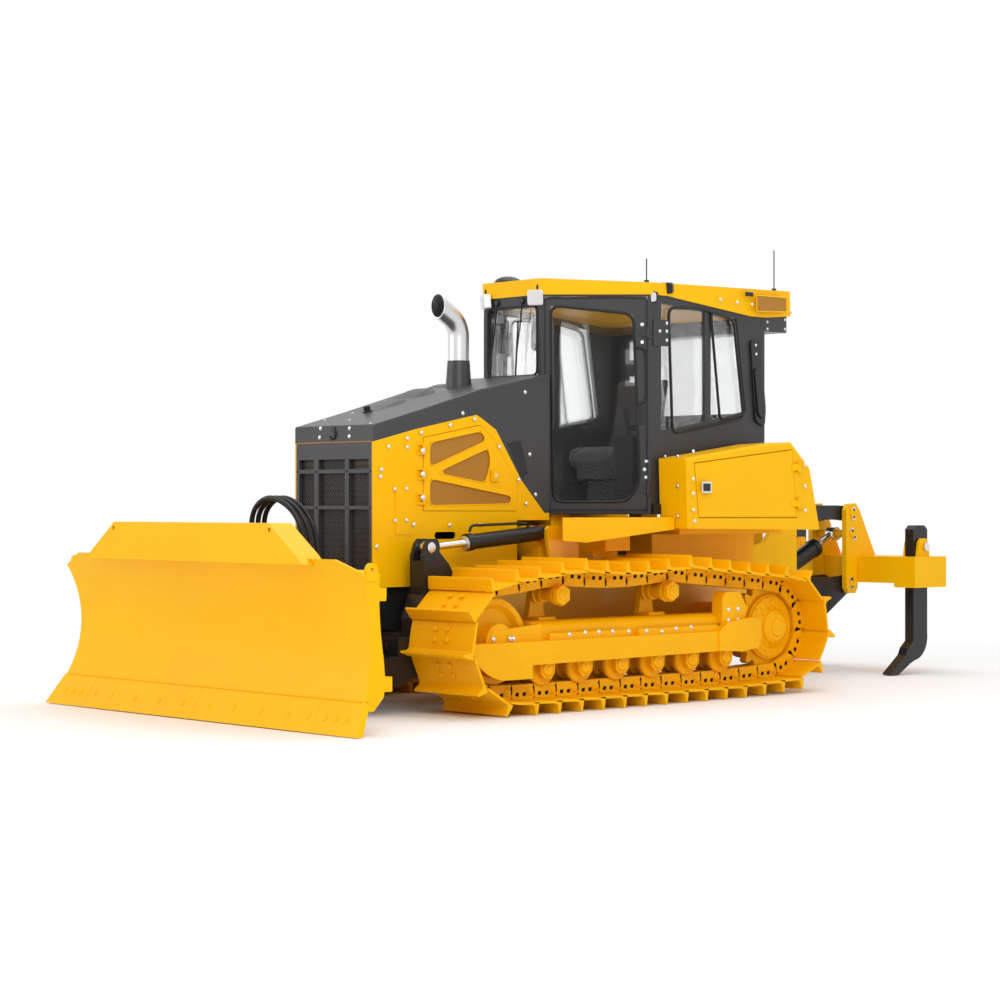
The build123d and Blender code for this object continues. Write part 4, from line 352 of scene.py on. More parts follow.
def joined(shapes):
    # several (points, faceSets) shapes as one
    points, faceSets, start = [], [], 0
    for shapePoints, shapeFaces in shapes:
        points.append(shapePoints)
        faceSets += [np.asarray(faces) + start for faces in shapeFaces]
        start += len(shapePoints)
    return np.vstack(points), faceSets


def frames(places, outward, upward=(0, 0, 1)):
    # one matrix per place, its third axis along outward and its second towards upward
    places = np.atleast_2d(np.asarray(places, float))
    z = np.broadcast_to(np.asarray(outward, float), places.shape)
    z = z / np.linalg.norm(z, axis=1, keepdims=True)
    x = np.cross(np.broadcast_to(np.asarray(upward, float), places.shape), z)
    x = x / np.linalg.norm(x, axis=1, keepdims=True)
    return np.stack((x, np.cross(z, x), z, places), 2)


def scattered(shape, matrices):
    # the same shape at every frame: point = axes times local point plus place
    points, faceSets = shape
    everywhere = np.einsum("kij,pj->kpi", matrices[:, :, :3], points) + matrices[:, None, :, 3]
    starts = np.arange(len(matrices)) * len(points)
    return everywhere.reshape(-1, 3), [(faces[None] + starts[:, None, None]).reshape(-1, faces.shape[1])
                                       for faces in map(np.asarray, faceSets)]


def boltShape(radius):
    # a washer under a hexagonal head with a small chamfer
    washer = turned(((radius * 1.25, 0), (radius * 1.25, radius * 0.14)), 12)
    head = turned(((radius, radius * 0.14), (radius, radius * 0.55), (radius * 0.8, radius * 0.72)), 6)
    return joined((washer, head))


def bolts(name, places, outward, body, radius=0.011, material=zincPlate):
    # a bolt at each place, its head towards outward
    heads = scattered(boltShape(radius), frames(places, outward, (0.13, 0.2, 1)))
    return makePiece(name, *heads, body, material)


def discs(name, profile, count, places, outward, body, material, smooth=True, upward=(0, 0, 1)):
    # the same turned shape at each place, its axis along outward
    shape = scattered(turned(profile, count), frames(places, outward, upward))
    return makePiece(name, *shape, body, material, smooth=smooth)


def rectangle(lowU, highU, lowV, highV):
    # the four corners between two values each way
    return (lowU, lowV), (highU, lowV), (highU, highV), (lowU, highV)


def rounded(outline, radius, steps=4):
    # each corner becomes a short parabola between points one radius back along its two sides
    corner = np.asarray(outline, float)
    toLast, toNext = np.roll(corner, 1, 0) - corner, np.roll(corner, -1, 0) - corner
    lastLength = np.linalg.norm(toLast, axis=1, keepdims=True)
    nextLength = np.linalg.norm(toNext, axis=1, keepdims=True)
    start = corner + toLast / lastLength * np.minimum(radius, lastLength * 0.45)
    end = corner + toNext / nextLength * np.minimum(radius, nextLength * 0.45)
    t = np.linspace(0, 1, steps)[None, :, None]
    curve = (1 - t) ** 2 * start[:, None] + 2 * t * (1 - t) * corner[:, None] + t ** 2 * end[:, None]
    return curve.reshape(-1, 2)


def signedArea(outline):
    # half the sum of the cross products of neighbouring corners
    x, y = np.asarray(outline, float).T
    return 0.5 * np.sum(x * np.roll(y, -1) - np.roll(x, -1) * y)


def flatPrism(outline, plane, low, high):
    # an outline in a plane (u axis, v axis) carried from one depth to another along u x v; its order is
    # put right first, so that faces point outwards
    outline = np.asarray(outline, float)
    if signedArea(outline) <= 0:
        outline = outline[::-1]
    w = np.cross(*plane)
    flat = outline @ np.array(plane, float)
    count = len(flat)
    ends = np.stack((np.arange(count)[::-1], np.arange(count) + count))
    quads = gridFaces(2, count, wrapColumns=True)[:, ::-1]
    return np.vstack((flat + w * low, flat + w * high)), [quads, ends]


sideFace = ((1, 0, 0), (0, 0, 1))      # u is x, v is z and depth is -y
frontFace = ((0, 1, 0), (0, 0, 1))     # u is y, v is z and depth is x
topFace = ((1, 0, 0), (0, 1, 0))       # u is x, v is y and depth is z


def onSide(pairs, out):
    # (x, z) pairs as points with the same y
    return np.insert(np.asarray(pairs, float), 1, out, axis=1)


def sidePrism(outline, low, high, way=1):
    # an (x, z) outline between two distances out from the centre plane, on the left or the right
    return flatPrism(np.asarray(outline, float) * (-way, 1), ((-way, 0, 0), (0, 0, 1)), low, high)


def sideRim(outline, out, radius, way):
    # a thin round bead along an (x, z) outline
    return tube(onSide(outline, way * out), radius, (0, 1, 0), 6, closed=True)


def sidePlates(name, outline, low, high, body, material, bevel=0.001):
    # a plate on each side with the same (x, z) outline; a star in the body's name stands for the side
    for side, way in sides:
        makePiece(f"{name}.{side}", *sidePrism(outline, low, high, way), body.replace("*", side), material,
                  bevel=bevel)


def sideBolts(name, pairs, out, radius, body="machine", material=zincPlate):
    # bolts on each side at the same (x, z) pairs
    for side, way in sides:
        places = onSide(pairs, way * out)
        bolts(f"{name}.{side}", places, (0, way, 0), body.replace("*", side), radius, material)


def sideDiscs(name, profile, count, pairs, out, body="machine", material=trackYellow, smooth=True):
    # a turned shape on each side at the same (x, z) pairs
    for side, way in sides:
        discs(f"{name}.{side}", profile, count, onSide(pairs, way * out), (0, way, 0),
              body.replace("*", side), material, smooth)


def tube(path, radius, up, sides=10, closed=False):
    # a round section carried along a path; its frame comes from the path's direction and a fixed up
    path = np.asarray(path, float)
    if closed:
        run = np.roll(path, -1, 0) - np.roll(path, 1, 0)
    else:
        run = np.gradient(path, axis=0)
    run /= np.linalg.norm(run, axis=1, keepdims=True)
    first = np.cross(run, np.asarray(up, float))
    first /= np.linalg.norm(first, axis=1, keepdims=True)
    second = np.cross(run, first)
    angles = np.arange(sides) * 2 * math.pi / sides
    radius = np.broadcast_to(np.asarray(radius, float), (len(path),))[:, None, None]
    points = path[:, None] + radius * (np.cos(angles)[None, :, None] * first[:, None]
                                       + np.sin(angles)[None, :, None] * second[:, None])
    quads = gridFaces(len(path), sides, wrapRows=closed, wrapColumns=True)[:, ::-1]
    if closed:
        return points.reshape(-1, 3), [quads]
    ends = np.stack((np.arange(sides)[::-1], np.arange(sides) + (len(path) - 1) * sides))
    return points.reshape(-1, 3), [quads, ends]


def smoothPath(points, steps=8):
    # a Catmull-Rom curve through the points
    p = np.asarray(points, float)
    p = np.vstack((2 * p[0] - p[1], p, 2 * p[-1] - p[-2]))
    t = np.linspace(0, 1, steps, endpoint=False)[None, :, None]
    a, b, c, d = p[:-3, None], p[1:-2, None], p[2:-1, None], p[3:, None]
    curve = 0.5 * (2 * b + (c - a) * t + (2 * a - 5 * b + 4 * c - d) * t ** 2
                   + (3 * b - 3 * c + d - a) * t ** 3)
    return np.vstack((curve.reshape(-1, p.shape[1]), p[-2]))


# one closed track chain each side: its pins follow the same loop as the solid chain
track = {"pitch": 0.1836, "shoes": 37, "pinZ": 0.122, "lastRollerX": -0.35, "idler": (1.6088, 0.43, 0.308),
         "sprocket": (-0.87, 0.426, 19), "carrierX": (1.1008, 0.14), "carrierPinZ": 0.797,
         "sags": (0.010, 0.033, 0.004), "y": 0.889, "halfWidth": 0.28, "linkRise": 0.046, "plate": 0.014,
         "bar": 0.062, "railDepth": 0.043, "railIn": 0.033, "railOut": 0.071}


def pinLoop():
    # straight under the rollers, an arc round the idler, three parabolas over the carriers and an arc round
    # the sprocket
    idlerX, idlerZ, idlerR = track["idler"]
    sprocketX, sprocketZ, teeth = track["sprocket"]
    sprocketR = track["pitch"] / (2 * math.sin(2 * math.pi / teeth))
    climb = np.array((track["lastRollerX"] - sprocketX, track["pinZ"] - sprocketZ))
    leave = math.atan2(climb[1], climb[0]) - math.acos(sprocketR / np.linalg.norm(climb))
    low = (sprocketX + sprocketR * math.cos(leave), sprocketZ + sprocketR * math.sin(leave))

    def hang(start, end, sag, steps=24):
        # a straight line less a parabola that is sag deep halfway
        t = (np.arange(steps) / steps)[:, None]
        drop = 4 * sag * t * (1 - t) * (0, 1)
        return np.array(start) + (np.array(end) - start) * t - drop

    def arc(x, z, radius, start, end, steps=60):
        # evenly spaced steps of angle on a circle
        a = start + (end - start) * np.arange(steps) / steps
        return np.stack((x + radius * np.cos(a), z + radius * np.sin(a)), 1)

    ground = (track["lastRollerX"], track["pinZ"])
    front, rear = ((x, track["carrierPinZ"]) for x in track["carrierX"])
    sags, up = track["sags"], math.pi / 2
    return np.vstack((hang(ground, (idlerX, track["pinZ"]), 0), arc(idlerX, idlerZ, idlerR, -up, up),
                      hang((idlerX, idlerZ + idlerR), front, sags[0]), hang(front, rear, sags[1]),
                      hang(rear, (sprocketX, sprocketZ + sprocketR), sags[2]),
                      arc(sprocketX, sprocketZ, sprocketR, up, 4 * up + leave), hang(low, ground, 0)))


def chainPins():
    # steps of one pitch round the loop, each found where the distance from the last pin reaches the pitch
    loop = pinLoop()
    loop = np.vstack((loop, loop))
    pins, index = [loop[0]], 0
    while len(pins) < track["shoes"]:
        while np.linalg.norm(loop[index + 1] - pins[-1]) < track["pitch"]:
            index += 1
        a, run = loop[index], loop[index + 1] - loop[index]
        back = a - pins[-1]
        half, whole = back @ run, run @ run
        t = (-half + math.sqrt(half ** 2 - whole * (back @ back - track["pitch"] ** 2))) / whole
        pins.append(a + run * t)
    return np.array(pins)


def linkFrames(way):
    # one frame per link: x along the chain, y across it and z outwards from the pin line
    start = chainPins()
    run = np.roll(start, -1, 0) - start
    run /= np.linalg.norm(run, axis=1, keepdims=True)
    zero = np.zeros(len(run))
    x = np.stack((run[:, 0], zero, run[:, 1]), 1)
    z = np.stack((run[:, 1], zero, -run[:, 0]), 1)
    places = np.stack((start[:, 0], zero + way * track["y"], start[:, 1]), 1)
    return np.stack((x, np.cross(z, x), z, places), 2)


def crossPrism(outline, low, high):
    # an outline in a link's own x and z, between two places across it
    return flatPrism(np.asarray(outline, float)[:, ::-1], ((0, 0, 1), (1, 0, 0)), low, high)


def shoeShape():
    # the lapped plate with its bar, the two links with their bosses, and the plate's four bolt heads
    pitch, rise, plate = track["pitch"], track["linkRise"], track["plate"]
    top, half, tip, depth = rise + plate, track["halfWidth"], rise + plate + track["bar"], -track["railDepth"]
    shoe = [(-0.045, rise), (pitch - 0.005, rise - plate / 2), (pitch - 0.005, rise + plate / 3),
            (pitch - 0.06, top - 0.003), (0.006, top), (-0.010, top + 0.012), (-0.0185, top + 0.05),
            (-0.021, tip), (-0.032, tip), (-0.036, top + 0.05), (-0.044, top + 0.004)]
    shapes = [crossPrism(shoe, -half, half)]
    rail = rounded(((-0.016, depth), (0.172, depth), (0.1816, -0.020), (0.172, 0.018), (pitch - 0.03, rise),
                    (-0.004, rise), (-0.022, 0.010)), 0.012, 3)
    boss = turned(((0.027, 0), (0.027, 0.006), (0.020, 0.010)), 12)
    pin = turned(((0.013, 0.009), (0.013, 0.013)), 8)
    nut = turned(((0.0165, top), (0.0165, top + 0.009), (0.013, top + 0.013)), 6)
    for way in (1, -1):
        low, high = sorted((way * track["railIn"], way * track["railOut"]))
        shapes.append(crossPrism(rail, low, high))
        outer = frames(((0.020, way * (track["railOut"] - 0.001), 0),), (0, way, 0))
        shapes += [scattered(boss, outer), scattered(pin, outer)]
    shapes.append(scattered(nut, np.stack([np.c_[np.eye(3), (x, y, 0)] for x in (0.062, 0.128)
                                           for y in (-0.052, 0.052)])))
    return joined(shapes)


def pocketShadeShape():
    # the two bolt windows of each link, as shallow insets in near-black painted shade that stand a hair proud
    # of its side
    window = rounded(((0.050, 0.004), (0.076, 0.004), (0.082, 0.024), (0.056, 0.030)), 0.006, 3)
    shapes = []
    for way in (1, -1):
        low, high = sorted((way * (track["railOut"] - 0.001), way * (track["railOut"] + 0.0012)))
        shapes += [crossPrism(window + (shift, 0), low, high) for shift in (0, 0.058)]
    return joined(shapes)


for side, way in sides:
    matrices = linkFrames(way)
    chain = makePiece(f"chain.{side}", *scattered(shoeShape(), matrices), "machine", trackYellow)
    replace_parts(chain, f"track_{side}")
    # each link's bolt windows as plates of painted shade
    makePiece(f"chainPocketShade.{side}", *scattered(pocketShadeShape(), matrices), "machine", paintedShade)
print("track chains done")

# running gear: bolt rings on the final drives, caps on the rollers, bolts along the frame's covers
runningGear = {
    "drive": (-0.87, 0.426), "driveFace": 0.9505, "spokes": 18, "boltCircle": 0.186, "ribCircle": 0.163,
    "rib": (0.034, 0.011, 0.011), "slot": (0.026, 0.012, 0.002), "cover": (0.976, 0.126, 12, 0.2),
    "stepFace": 1.010,
    "step": ((0.062, -0.004), (0.062, 0.006), (0.054, 0.012)), "rollers": (1.2348, -0.35, 6),
    "rollerZ": 0.256,
    "cap": ((0.046, -0.002), (0.046, 0.008), (0.036, 0.014), (0.034, 0.009), (0.016, 0.009), (0.012, 0.014)),
    "capBolts": (0.045, 0.033), "capFace": 1.026, "carrierZ": 0.69, "carrierFace": 1.020,
    "hub": ((0.034, -0.003), (0.034, 0.004), (0.028, 0.006)), "hubBolts": (0.012, 1.0255),
    "idler": (1.6088, 0.43), "idlerFace": 0.994,
    "idlerHub": ((0.105, 0), (0.105, 0.012), (0.09, 0.02), (0.05, 0.02), (0.045, 0.028)), "coverFace": 1.0385,
    "coverBolts": ((1.687, 0.449), (1.556, 0.447), (1.529, 0.446), (1.069, 0.453), (0.936, 0.460),
                   (0.818, 0.460), (0.699, 0.458), (0.558, 0.453), (0.40, 0.450), (0.261, 0.441),
                   (0.133, 0.454), (-0.007, 0.459)),
    "stopBolts": ((-0.36, 0.56), (-0.45, 0.56), (-0.36, 0.49), (-0.45, 0.49)),
    "noseBolts": ((1.427, 0.245), (1.427, 0.215)), "noseFace": 1.060}
gear = runningGear


def ring(centre, radius, count, start=0.0):
    # evenly spaced (x, z) pairs on a circle
    a = start + np.arange(count) * 2 * math.pi / count
    return np.asarray(centre) + radius * np.stack((np.cos(a), np.sin(a)), 1)


def barShape(length, width, height):
    # a low bar with sloping ends, its length along local y
    half = length / 2
    outline = ((-half, 0), (half, 0), (half - height, height), (height - half, height))
    return flatPrism(outline, frontFace, -width / 2, width / 2)


def driveBars(name, bar, start, material):
    # bars that point away from the drive's centre, evenly spaced round it
    spokes = ring(gear["drive"], gear["ribCircle"], gear["spokes"], start)
    for side, way in sides:
        places, radial = onSide(spokes, way * gear["driveFace"]), onSide(spokes - gear["drive"], 0)
        matrices = frames(places, (0, way, 0), radial)
        makePiece(f"{name}.{side}", *scattered(barShape(*bar), matrices), "machine", material)


sideBolts("driveBolts", ring(gear["drive"], gear["boltCircle"], gear["spokes"]), gear["driveFace"], 0.009,
          material=trackYellow)
driveBars("driveRibs", gear["rib"], math.pi / gear["spokes"], trackYellow)
# the drive face's slots as thin bars of painted shade that stand on the face
driveBars("driveSlotShade", gear["slot"], 0, paintedShade)
coverOut, *coverRing = gear["cover"]
sideBolts("driveCoverBolts", ring(gear["drive"], *coverRing), coverOut, 0.007, material=trackYellow)
sideDiscs("driveCoverStep", gear["step"], 32, (gear["drive"],), gear["stepFace"])
rollerX = np.linspace(*gear["rollers"])
sideDiscs("rollerCaps", gear["cap"], 20, [(x, gear["rollerZ"]) for x in rollerX], gear["capFace"])
boltX, boltZ = gear["capBolts"]
sideBolts("rollerBolts", [(x + dx, gear["rollerZ"] + boltZ) for dx in (-boltX, boltX) for x in rollerX],
          gear["capFace"], 0.009, material=trackYellow)
carriers = [(x, gear["carrierZ"]) for x in track["carrierX"]]
sideDiscs("carrierHubs", gear["hub"], 20, carriers, gear["carrierFace"])
beside, hubBoltOut = gear["hubBolts"]
sideBolts("carrierBolts", [(x + dx, z) for x, z in carriers for dx in (-beside, beside)], hubBoltOut, 0.0045,
          material=trackYellow)
sideBolts("coverBolts", gear["coverBolts"], gear["coverFace"], 0.011)
sideBolts("stopBolts", gear["stopBolts"], gear["coverFace"], 0.012)
sideBolts("noseBolts", gear["noseBolts"], gear["noseFace"], 0.009, material=blackPaint)
sideDiscs("idlerHub", gear["idlerHub"], 36, (gear["idler"],), gear["idlerFace"])
print("running gear done")

# bodywork: bolts along the side panels, the doors' latches, the cowl's recess and the doors' brown mesh
panels = {
    "out": 0.3875, "edge": ((1.938, 1.579), (1.792, 1.631), (1.792, 1.578), (1.994, 1.442), (2.002, 1.400),
                            (1.740, 1.114), (1.447, 1.719), (1.248, 1.759), (1.679, 1.668), (1.039, 1.591),
                            (0.874, 1.389), (0.810, 1.240), (1.451, 1.109), (2.030, 0.985), (1.20, 1.109)),
    "cover": ((1.890, 1.326), (1.797, 1.329), (1.887, 1.138), (1.797, 1.140)),
    "cowl": ((0.770, 1.550), (0.811, 1.940), (0.720, 1.297), (1.336, 1.794)),
    "hinge": ((1.683, 1.557), (1.683, 1.416), (1.683, 1.275)),
    "latch": (((1.045, 1.112, 1.375, 1.450), 0.008, (0.386, 0.3925)),
              ((1.056, 1.101, 1.387, 1.438), 0.006, (0.3925, 0.398))),
    "latchCore": (1.078, 1.412), "recess": ((0.962, 1.619), (0.852, 1.635), (0.786, 1.423), (0.836, 1.400)),
    "windows": (((1.609, 1.610), (1.185, 1.689), (1.140, 1.629), (1.609, 1.458)),
                ((1.559, 1.426), (1.126, 1.585), (1.103, 1.497), (1.148, 1.364)),
                ((1.609, 1.393), (0.929, 1.287), (0.936, 1.236), (1.609, 1.226))),
    "windowCorner": 0.05, "meshDepths": (0.3695, 0.3705), "rimOut": 0.3785, "recessDepths": (0.3762, 0.3790),
    "cowlOut": 0.3765, "hingeOut": 0.404, "latchCoreOut": 0.398}
sideBolts("panelBolts", panels["edge"], panels["out"], 0.010)
sideBolts("serviceBolts", panels["cover"], panels["out"], 0.009)
sideBolts("cowlBolts", panels["cowl"], panels["cowlOut"], 0.010)
sideBolts("doorHingeBolts", panels["hinge"], panels["hingeOut"], 0.014)
sideDiscs("latchCore", ((0.011, 0), (0.011, 0.003), (0.008, 0.004)), 14, (panels["latchCore"],),
          panels["latchCoreOut"], "engine_door_*", zincPlate, smooth=False)
recess = rounded(panels["recess"], 0.02, 5)
sidePlates("cowlRecess", recess, *panels["recessDepths"], "machine", blackPaint)
windows = [rounded(outline, panels["windowCorner"], 6) for outline in panels["windows"]]
for side, way in sides:
    door = f"engine_door_{side}"
    latch = [sidePrism(rounded(rectangle(*box), corner), *depths, way)
             for box, corner, depths in panels["latch"]]
    makePiece(f"doorLatch.{side}", *joined(latch), door, yellowPaint, bevel=0.0015)
    makePiece(f"cowlRecessRim.{side}", *sideRim(recess, panels["rimOut"], 0.0035, way), "machine", charcoal,
              smooth=True)
    sheets = [sidePrism(window, *panels["meshDepths"], way) for window in windows]
    makePiece(f"doorMesh.{side}", *joined(sheets), door, panelMesh)
    rims = [sideRim(window, panels["rimOut"], 0.004, way) for window in windows]
    makePiece(f"doorMeshRims.{side}", *joined(rims), door, yellowPaint, smooth=True)

# the nose: bolts, a small hook ring, a thin amber strip and the grille's expanded metal
nose = {"face": 2.0505, "boxBolts": ((-0.122, 1.697), (-0.131, 1.642), (0.157, 1.691), (0.155, 1.643)),
        "windowsY": ((-0.335, -0.189), (-0.145, 0.109), (0.148, 0.335)),
        "windowsZ": ((1.226, 1.422), (0.850, 1.204)), "darkZ": (1.446, 1.506), "footZ": (0.765, 0.835),
        "pitch": 0.024, "strand": 0.0045, "slope": 1.15, "shortest": 0.004, "depths": (2.0215, 2.0235),
        "thick": 0.003, "back": (2.0202, 2.0208), "boltZ": (1.434, 1.215, 0.842),
        "boltY": (-0.352, -0.167, 0.128, 0.352), "strip": (-0.36, 0.36, 1.6065, 1.6125),
        "stripDepths": (2.0495, 2.0502), "hookX": 2.057, "hookFoot": (2.0495, 0.0, 1.692),
        "hook": ((0.0, 1.690), (0.022, 1.672), (0.018, 1.640), (-0.012, 1.628), (-0.030, 1.645))}
ahead = (1, 0, 0)
bolts("noseBolts", [(nose["face"], y, z) for y, z in nose["boxBolts"]], ahead, "machine", 0.010)
hook = np.insert(smoothPath(nose["hook"], 5), 0, nose["hookX"], axis=1)
hookFoot = scattered(turned(((0.022, 0), (0.022, 0.005), (0.012, 0.008)), 14),
                     frames((nose["hookFoot"],), ahead))
makePiece("noseHook", *joined((tube(hook, 0.006, ahead, 8), hookFoot)), "machine", blackPaint, smooth=True)


def diamondStrands(lowY, highY, lowZ, highZ):
    # slanted strands both ways across a window, each one clipped to the window's own sides
    width, height, slope = highY - lowY, highZ - lowZ, nose["slope"]
    start = np.arange(-height / slope, width, nose["pitch"])
    t0 = np.clip(-start * slope, 0, height)
    t1 = np.clip((width - start) * slope, 0, height)
    keep = t1 - t0 > nose["shortest"]
    start, t0, t1 = start[keep], t0[keep], t1[keep]
    y0, y1 = start + t0 / slope, start + t1 / slope
    rising = np.stack((lowY + y0, lowZ + t0, lowY + y1, lowZ + t1), 1)
    falling = np.stack((highY - y0, lowZ + t0, highY - y1, lowZ + t1), 1)
    ends = np.vstack((rising, falling))
    run = ends[:, 2:] - ends[:, :2]
    across = np.stack((-run[:, 1], run[:, 0]), 1) * nose["strand"] / 2
    across /= np.linalg.norm(run, axis=1, keepdims=True)
    low, high = ends[:, :2], ends[:, 2:]
    corners = np.stack((low - across, high - across, high + across, low + across), 1)
    depth = np.repeat(nose["depths"], len(rising))[:, None]
    back = np.concatenate((np.broadcast_to(depth, corners.shape[:2])[..., None], corners), 2)
    box = np.concatenate((back, back + (nose["thick"], 0, 0)), 1)
    faces = np.array(((3, 2, 1, 0), (4, 5, 6, 7), (0, 1, 5, 4), (1, 2, 6, 5), (2, 3, 7, 6), (3, 0, 4, 7)))
    starts = np.arange(len(box))[:, None, None] * 8
    return box.reshape(-1, 3), [(faces[None] + starts).reshape(-1, 4)]


panes = [(*spanY, *spanZ) for spanY in nose["windowsY"] for spanZ in (*nose["windowsZ"], nose["footZ"])]
middleTop = (*nose["windowsY"][1], *nose["darkZ"])
makePiece("grilleMesh", *joined([diamondStrands(*pane) for pane in (*panes, middleTop)]), "machine", charcoal)
# near-black woven sheets just behind the grille's windows and its dark band, painted shade of the hollow nose
# behind them
panes += [(*spanY, *nose["darkZ"]) for spanY in nose["windowsY"]]
makePiece("grilleShadeBacking", *joined([flatPrism(rectangle(*pane), frontFace, *nose["back"]) for pane in panes]),
          "machine", grilleShadeBack)
makePiece("amberStrip", *flatPrism(rectangle(*nose["strip"]), frontFace, *nose["stripDepths"]), "machine",
          panelMesh)
bolts("grilleBolts", [(nose["face"], y, z) for z in nose["boltZ"] for y in nose["boltY"]], ahead, "machine",
      0.006, blackPaint)

# hood top: pressed louvres, a cap and the seam's bolts
hoodTop = {"heights": ((0.60, 2.060), (0.82, 2.020), (1.19, 1.948), (1.66, 1.814), (2.05, 1.710)),
           "louvres": ((1.19, 1.35, -0.18, 0.26, 0.022), (1.43, 1.66, -0.16, 0.24, 0.014),
                       (0.93, 1.02, -0.27, 0.16, 0.012)), "rows": 12, "columns": 11,
           "proud": 0.0006, "sunk": 0.001, "normal": (0.27, 0, 0.96),
           "cap": ((0.034, -0.004), (0.034, 0.006), (0.022, 0.010), (0.022, 0.034), (0.017, 0.040)),
           "capPlace": (1.687, -0.115), "bolts": ((1.887, -0.286), (1.917, -0.010), (1.720, -0.220),
                                                  (2.030, 0.330))}


def hoodHeight(x):
    # height of the hood's top along the machine, straight between the given places
    return np.interp(x, *zip(*hoodTop["heights"]))


def louvre(lowX, highX, centreY, width, rise):
    # a pressed vent: a grid that swells up along x as a quarter wave and drops square at its rear edge
    rows, columns = hoodTop["rows"], hoodTop["columns"]
    u, v = np.meshgrid(np.linspace(0, 1, rows), np.linspace(-1, 1, columns), indexing="ij")
    x, y = lowX + (highX - lowX) * (1 - u), centreY + width / 2 * v
    z = hoodHeight(x) + rise * np.sin(u * math.pi / 2) * np.sqrt(np.clip(1 - v ** 4, 0, 1)) + hoodTop["proud"]
    top = np.stack((x, y, z), 2).reshape(-1, 3)
    floor = np.stack((x, y, hoodHeight(x) - hoodTop["sunk"]), 2).reshape(-1, 3)
    count = len(top)
    quads = gridFaces(rows, columns)
    index = np.arange(count).reshape(rows, columns)
    border = np.concatenate((index[0], index[1:, -1], index[-1, -2::-1], index[-2:0:-1, 0]))
    nextOne = np.roll(border, -1)
    skirt = np.stack((border, border + count, nextOne + count, nextOne), 1)
    return np.vstack((top, floor)), [quads, quads[:, ::-1] + count, skirt[:, ::-1]]


makePiece("hoodFlaps", *joined([louvre(*flap) for flap in hoodTop["louvres"]]), "machine", charcoal,
          smooth=True)
capX, capY = hoodTop["capPlace"]
discs("fillerCap", hoodTop["cap"], 20, ((capX, capY, hoodHeight(capX)),), hoodTop["normal"], "machine",
      blackPaint, upward=ahead)
bolts("hoodBolts", [(x, y, hoodHeight(x) + 0.0005) for x, y in hoodTop["bolts"]], hoodTop["normal"],
      "machine", 0.008)
print("bodywork done")

# cab: seals round every pane, hinge plates, lamps, handles, wipers, sliding window, sill and corner fender
cab = {
    "walls": {"door": ((0.06, 0.75), (0.57, 0.27)), "side": ((0.06, 0.75), (-1.10, 0.70))},
    "facing": {"door": (0.685, 0.728, 0), "side": (0.04, 1, 0)}, "seal": 0.009, "quarterSeal": 0.0099,
    "doorGlass": ((0.640, 2.505), (0.112, 2.450), (0.070, 1.372), (0.147, 1.250), (0.625, 1.250)),
    "doorEdge": (0.024, 0.676, 1.196, 2.552),
    "doorBar": ((0.100, 2.24), (0.045, 2.22), (0.030, 2.13), (0.030, 1.92), (0.060, 1.88), (0.085, 1.86)),
    "handle": (((0.036, 0.090, 1.745, 1.865), 0.016, (-0.002, 0.008)),
               ((0.046, 0.068, 1.765, 1.845), 0.008, (0.008, 0.013))),
    "quarterGlass": ((-0.110, 2.500), (-0.441, 2.512), (-0.770, 2.462), (-0.880, 1.809), (-0.150, 1.690)),
    "slider": ((-0.530, 2.500), (-0.765, 2.455), (-0.870, 1.835), (-0.625, 1.790)),
    "hinges": ((0.040, -0.108, 2.250, 2.420), (-0.060, -0.150, 1.368, 1.561)), "hingeThick": 0.007,
    "plateBolts": ((-0.088, 2.399), (-0.088, 2.347), (-0.088, 2.289), (-0.125, 1.521), (-0.125, 1.468),
                   (-0.125, 1.412), (-0.02, 2.345)),
    "doorBolts": ((0.055, 2.383), (0.045, 2.334), (0.055, 2.270), (0.028, 1.509), (0.040, 1.457),
                  (0.030, 1.407)),
    "sill": (("door", (0.02, 0.69, 1.172, 1.190)), ("side", (0.0, 0.14, 1.172, 1.235))), "sillOut": 0.030,
    "fender": (((-0.933, 2.330), (-1.038, 2.340), (-1.096, 1.870), (-1.082, 1.750), (-0.985, 1.790)),
               ((-0.955, 2.140), (-1.025, 2.150), (-1.075, 1.900), (-1.065, 1.800), (-1.000, 1.830))),
    "fenderDepths": ((0.0, 0.018), (0.018, 0.032)),
    "fenderBolts": ((-0.985, 2.30), (-0.990, 2.24), (-1.020, 1.98)),
    "lamps": (("front", (0.595, 0.245, 2.555), (0.052, 0.050), zincPlate, lampGlass),
              ("pillar", (0.045, 0.742, 2.560), (0.040, 0.034), blackPaint, lampGlass),
              ("roof", (-0.09, 0.742, 2.625), (0.044, 0.036), blackPaint, blackPaint)),
    "lampFacing": (0.85, 0.5, -0.1), "lampForward": 0.012,
    "bracket": ((0.560, 0.245, 2.575), (0.575, 0.245, 2.625), (0.560, 0.245, 2.665)),
    "mirror": (0.50, 0.16, 2.33), "mirrorFace": (-0.045, 0.045, -0.11, 0.11)}
roof = {"out": 0.76, "boltsOut": 0.7605, "rimOut": 0.761, "ventOut": 0.7612, "latchOut": 0.766,
        "intakeOut": 0.6905, "bolts": ((-0.589, 2.580), (-0.754, 2.571), (-0.905, 2.566), (-1.30, 2.535)),
        "vent": ((-0.950, 2.630), (-1.257, 2.630), (-1.257, 2.535), (-0.950, 2.522)),
        "latch": (-0.835, -0.912, 2.617, 2.645),
        "intakeBolts": ((-1.14, 2.465), (-1.14, 2.418), (-1.32, 2.489), (-1.32, 2.425))}


def wallPoints(outline, wall, out, way):
    # (distance along a cab wall, height) pairs as points, so far out from the wall
    outline = np.asarray(outline, float)
    start, end = np.array(cab["walls"][wall])
    run = (end - start) / np.linalg.norm(end - start)
    normal = np.array((-run[1], run[0])) * np.sign(run[0])
    flat = start + outline[:, :1] * run + normal * out
    return np.c_[flat[:, 0], way * flat[:, 1], outline[:, 1]]


